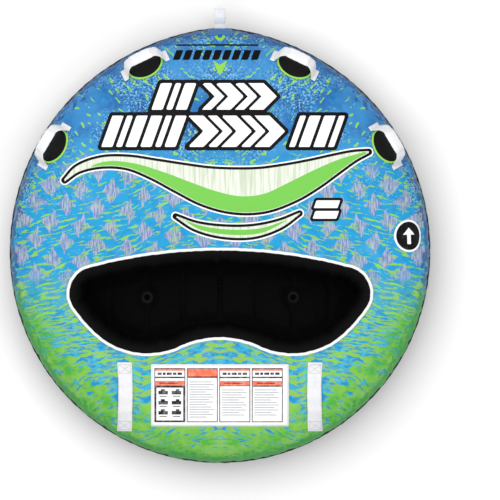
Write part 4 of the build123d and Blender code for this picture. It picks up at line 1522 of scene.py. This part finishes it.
build_badge()


# ---- tow loop, tail and patches ---------------------------------------------
TOW_HINGE_Y, TOW_EYE_Y, TOW_EYE_R = 0.736, 0.779, 0.0144
TOW_HALF_W, TOW_HALF_T = 0.0188, 0.0013
TOW_ROWS, TOW_LENGTH = 9, 0.19
TOW_NECK = [(NOSE_Y - 0.002, 0.0017), (0.730, 0.0018), (0.742, 0.0022), (0.753, 0.0048),
            (0.765, 0.0108)]
TOW_BOX_X, TOW_BOX_Y = 0.0155, (0.7425, 0.7515)
PATCH_HALF_W, PATCH_CELLS, PATCH_HIGH = 0.042, 25, 0.0022
PATCHES = [  # name, cover, bottom, top, material
    ("top", TREE, 0.168, 0.252, "nose_patch"),
    ("bottom", BASE_TREE, 0.068, 0.152, "black_patch"),
]


def tow_line():
    """The webbing's line at x = 0, as (y, height off the seam): out, round the eye and back."""
    eye = [(TOW_EYE_Y + TOW_EYE_R * math.cos(turn), TOW_EYE_R * math.sin(turn))
           for turn in np.radians(np.linspace(70, -70, 9))]
    return curve(TOW_NECK + eye + [(y, -z) for y, z in TOW_NECK[::-1]], 140)


def build_tow_loop():
    """The tow webbing, out past the seam and round its eye; gives back the upper half of its line."""
    line = tow_line()
    tangent = unit(np.gradient(line, axis=0))
    n = np.stack([np.zeros(len(line)), -tangent[:, 1], tangent[:, 0]], 1)
    v = np.linspace(-1, 1, TOW_ROWS)[:, None]
    mid = np.zeros((TOW_ROWS, len(line), 3))
    mid[..., 0] = v * TOW_HALF_W
    mid[..., 1] = line[:, 0]
    mid[..., 2] = SEAM_Z + line[:, 1]
    thick = thin_edges(v, TOW_HALF_T, 0.3)
    verts, faces = slab(mid, n, thick, -thick)
    obj = make("tow_loop_webbing", verts, faces, "webbing", ["tow_loop", "tow_tail"],
               body=None)
    grid_uv(obj, TOW_ROWS, len(line), TOW_LENGTH, 2 * TOW_HALF_W)
    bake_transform(obj)
    return line[:len(line) // 2]


def build_tow_boxes(line):
    """The sewn box behind the eye, on both faces of the webbing."""
    x, (y0, y1) = TOW_BOX_X, TOW_BOX_Y
    corners = np.array([(-x, y0), (x, y0), (x, y1), (-x, y1), (-x, y0), (x, y1), (x, y0), (-x, y1)])
    share = np.linspace(0, 1, 8)[:, None]
    plan = np.concatenate([a + (b - a) * share for a, b in zip(corners[:-1], corners[1:])])
    rise = np.interp(plan[:, 1], line[:, 0], line[:, 1]) + 0.0014
    for sign, word in ((1, "top"), (-1, "under")):
        path = np.concatenate([plan, SEAM_Z + sign * rise[:, None]], 1)
        n = np.repeat([[0, -0.2, sign * 1.0]], len(path), 0)
        stitches(path, n, f"tow_box_{word}", GREY, "tow_loop", 0.0042, 0.003)


def build_tow_patches():
    for word, tree, z0, z1, key in PATCHES:
        side = np.linspace(-PATCH_HALF_W, PATCH_HALF_W, PATCH_CELLS)
        x, z = np.meshgrid(side, np.linspace(z0, z1, PATCH_CELLS))
        grid = np.stack([x, np.full_like(x, NOSE_Y - 0.023), z], 2)
        hit, n = soft_drop(tree, grid, np.array([0, -1.0, 0]), 0.2)
        verts, faces = slab(hit, n, PATCH_HIGH, SHEET_LOW)
        make(f"tow_patch_{word}_cloth", verts, faces, key, [f"tow_patch_{word}"])
        seam, seam_n = looped(border(hit[1:-1, 1:-1])), looped(border(n[1:-1, 1:-1]))
        stitches(seam + seam_n * (PATCH_HIGH + SEAM_LIFT), seam_n, f"tow_patch_{word}_stitching", GREY)


build_tow_boxes(build_tow_loop())
build_tow_patches()


# ---- valve flap -------------------------------------------------------------
FLAP_U, FLAP_V = (-0.060, 0.060), (-0.062, 0.077)
FLAP_COLS, FLAP_ROWS = 41, 49
FLAP_HALF_T = 0.0006
FLAP_LIFT, HEM_LIFT = 0.0058, 0.0015    # clear of the valve, and at the hem
REAR_ROUND = 0.72                       # the rim's radius in plan at the rear


def build_flap():
    """One piece of cloth: its hem is sewn above the valve, and the rest folds up from there."""
    u, v = np.meshgrid(np.linspace(*FLAP_U, FLAP_COLS), np.linspace(*FLAP_V, FLAP_ROWS))
    centre = VALVE_AT - VALVE_OUT * RIM_R
    away = unit(v[..., None] * VALVE_UP + VALVE_OUT * RIM_R)
    base = centre + away * (RIM_R - u ** 2 / (2 * REAR_ROUND))[..., None]
    base[..., 0] = u
    lift = FLAP_LIFT + (HEM_LIFT - FLAP_LIFT) * smooth(0.058, 0.068, v)
    lift = lift * (1 - 0.45 * smooth(0.047, 0.059, np.abs(u)))
    lift = lift + 0.0007 * np.sin(u * 90) * np.sin(v * 70 + 1) * smooth(0.066, 0.05, v)
    mid = base + away * lift[..., None]
    verts, faces = slab(mid, away, FLAP_HALF_T, -FLAP_HALF_T)
    obj = make("valve_flap_cloth", verts, faces, "black_patch", ["valve_flap", "flap_hem"],
               body=None)
    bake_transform(obj)
    skin = mid + away * (FLAP_HALF_T + SEAM_LIFT)
    for row, word in ((-4, "upper"), (-2, "lower")):
        stitches(skin[row], away[row], f"flap_hem_stitching_{word}", GREY)
    edge, edge_n = (np.concatenate([a[1:-9, 1][::-1], a[1, 1:-1], a[1:-9, -2]])
                    for a in (skin, away))
    stitches(edge, edge_n, "flap_edge_stitching", GREY, "valve_flap")


build_flap()


# ---- zipper teeth -----------------------------------------------------------
ZIP_Z = 0.045
ZIP_FROM, ZIP_TO = math.radians(-74.0), math.radians(-31.0)
TOOTH_PITCH = 0.0025
TOOTH_HALF = (0.0010, 0.0026, 0.0011)   # along the zip, across it and out
TOOTH_OFFSET = 0.0008                   # teeth of the two sides, off the middle
TOOTH_CORNERS = np.array([(-1, -1, -1), (1, -1, -1), (1, 1, -1), (-1, 1, -1),
                          (-0.6, -1, 1), (0.6, -1, 1), (0.6, 1, 1), (-0.6, 1, 1)])
TOOTH_FACES = np.array([(0, 3, 2, 1), (4, 5, 6, 7), (0, 1, 5, 4), (1, 2, 6, 5), (2, 3, 7, 6),
                        (3, 0, 4, 7)])


def build_teeth():
    lean = math.asin((RIM_R - ZIP_Z) / RIM_R)
    rim_middle = HULL.arcs[-1][2] - RIM_R
    pivot = np.array([0.0, joint("zip_slide")["pos_m"][1], RIM_R])
    count = int((ZIP_TO - ZIP_FROM) * (rim_middle + RIM_R * math.sin(lean)) / TOOTH_PITCH)
    verts, faces = [], []
    for k in range(count):
        a = ZIP_FROM + (k + 0.5) * (ZIP_TO - ZIP_FROM) / count
        outward = np.array([math.cos(a), math.sin(a), 0])
        along = np.array([-math.sin(a), math.cos(a), 0])
        out = outward * math.sin(lean) - np.array([0, 0, 1]) * math.cos(lean)
        across = np.cross(out, along)
        at = pivot + outward * rim_middle + out * (RIM_R + 0.0012)
        at = at + across * (TOOTH_OFFSET if k % 2 else -TOOTH_OFFSET)
        faces += list(TOOTH_FACES + len(verts))
        verts += list(at + TOOTH_CORNERS * TOOTH_HALF @ np.stack([along, across, out]))
    make("zip_teeth_row", verts, faces, "plastic", ["zip_teeth"], rounded=False)


build_teeth()


# ---- CAD nodes that keep their shape ----------------------------------------
KEPT_NODES = {
    "drain": ["drain_eyelet_left", "drain_eyelet_right"],
    "pvc": ["valve_base", "valve_membrane"],
    "plastic": ["valve_insert", "valve_cap"],
    "hook": ["flap_hook_strip", "flap_loop_strip"],
    "tape": ["zip_tape_lower", "zip_tape_upper"],
    "metal": ["zip_slider", "zip_pull"],
}
for key, names in KEPT_NODES.items():
    for name in names:
        NODES[name].data.materials.clear()
        NODES[name].data.materials.append(MATS[key])


# ---- floor, light and camera ------------------------------------------------
STAGE_HALF = 40.0
LIGHTS = [  # name, place, power, size
    ("key", (-0.9, 1.0, 5.0), 175, 4.5),
    ("fill", (2.5, -1.5, 4.0), 35, 3.0),
]
LIT_POINT = Vector((0, 0, 0.2))
CAMERA_X, CAMERA_Y, CAMERA_UP = 0.102, -0.028, 30.0
VIEW_WIDTH = 1.7025
SENSOR = 36.0


def build_stage():
    size = STAGE_HALF
    mesh = bpy.data.meshes.new("floor")
    mesh.from_pydata([(-size, -size, 0), (size, -size, 0), (size, size, 0), (-size, size, 0)], [],
                     [(0, 1, 2, 3)])
    pale = Shader("pale_floor", (0.96, 0.96, 0.96, 1), 0.9, Specular_IOR_Level=0.1)
    mesh.materials.append(pale.mat)
    floor = add("floor", mesh)
    floor.location.z = -0.0005
    world = bpy.data.worlds.new("studio")
    bpy.context.scene.world = world
    world.use_nodes = True
    sky = world.node_tree.nodes["Background"]
    sky.inputs["Color"].default_value = (1, 1, 1, 1)
    sky.inputs["Strength"].default_value = 0.62
    for name, place, power, size in LIGHTS:
        light = bpy.data.lights.new(name, "AREA")
        light.energy = power
        light.size = size
        lamp = add(name, light)
        lamp.location = place
        lamp.rotation_euler = (LIT_POINT - Vector(place)).to_track_quat("-Z", "Y").to_euler()


def build_camera():
    """Straight above the tube, far enough away that the view is nearly flat."""
    data = bpy.data.cameras.new("camera")
    data.sensor_width = SENSOR
    data.lens = SENSOR * CAMERA_UP / VIEW_WIDTH
    data.clip_end = 200
    camera = add("camera", data)
    camera.location = (CAMERA_X, CAMERA_Y, SEAM_Z + CAMERA_UP)
    bpy.context.scene.camera = camera


build_stage()
build_camera()
bpy.context.scene.view_settings.view_transform = "Standard"
bpy.context.scene.view_settings.look = "None"
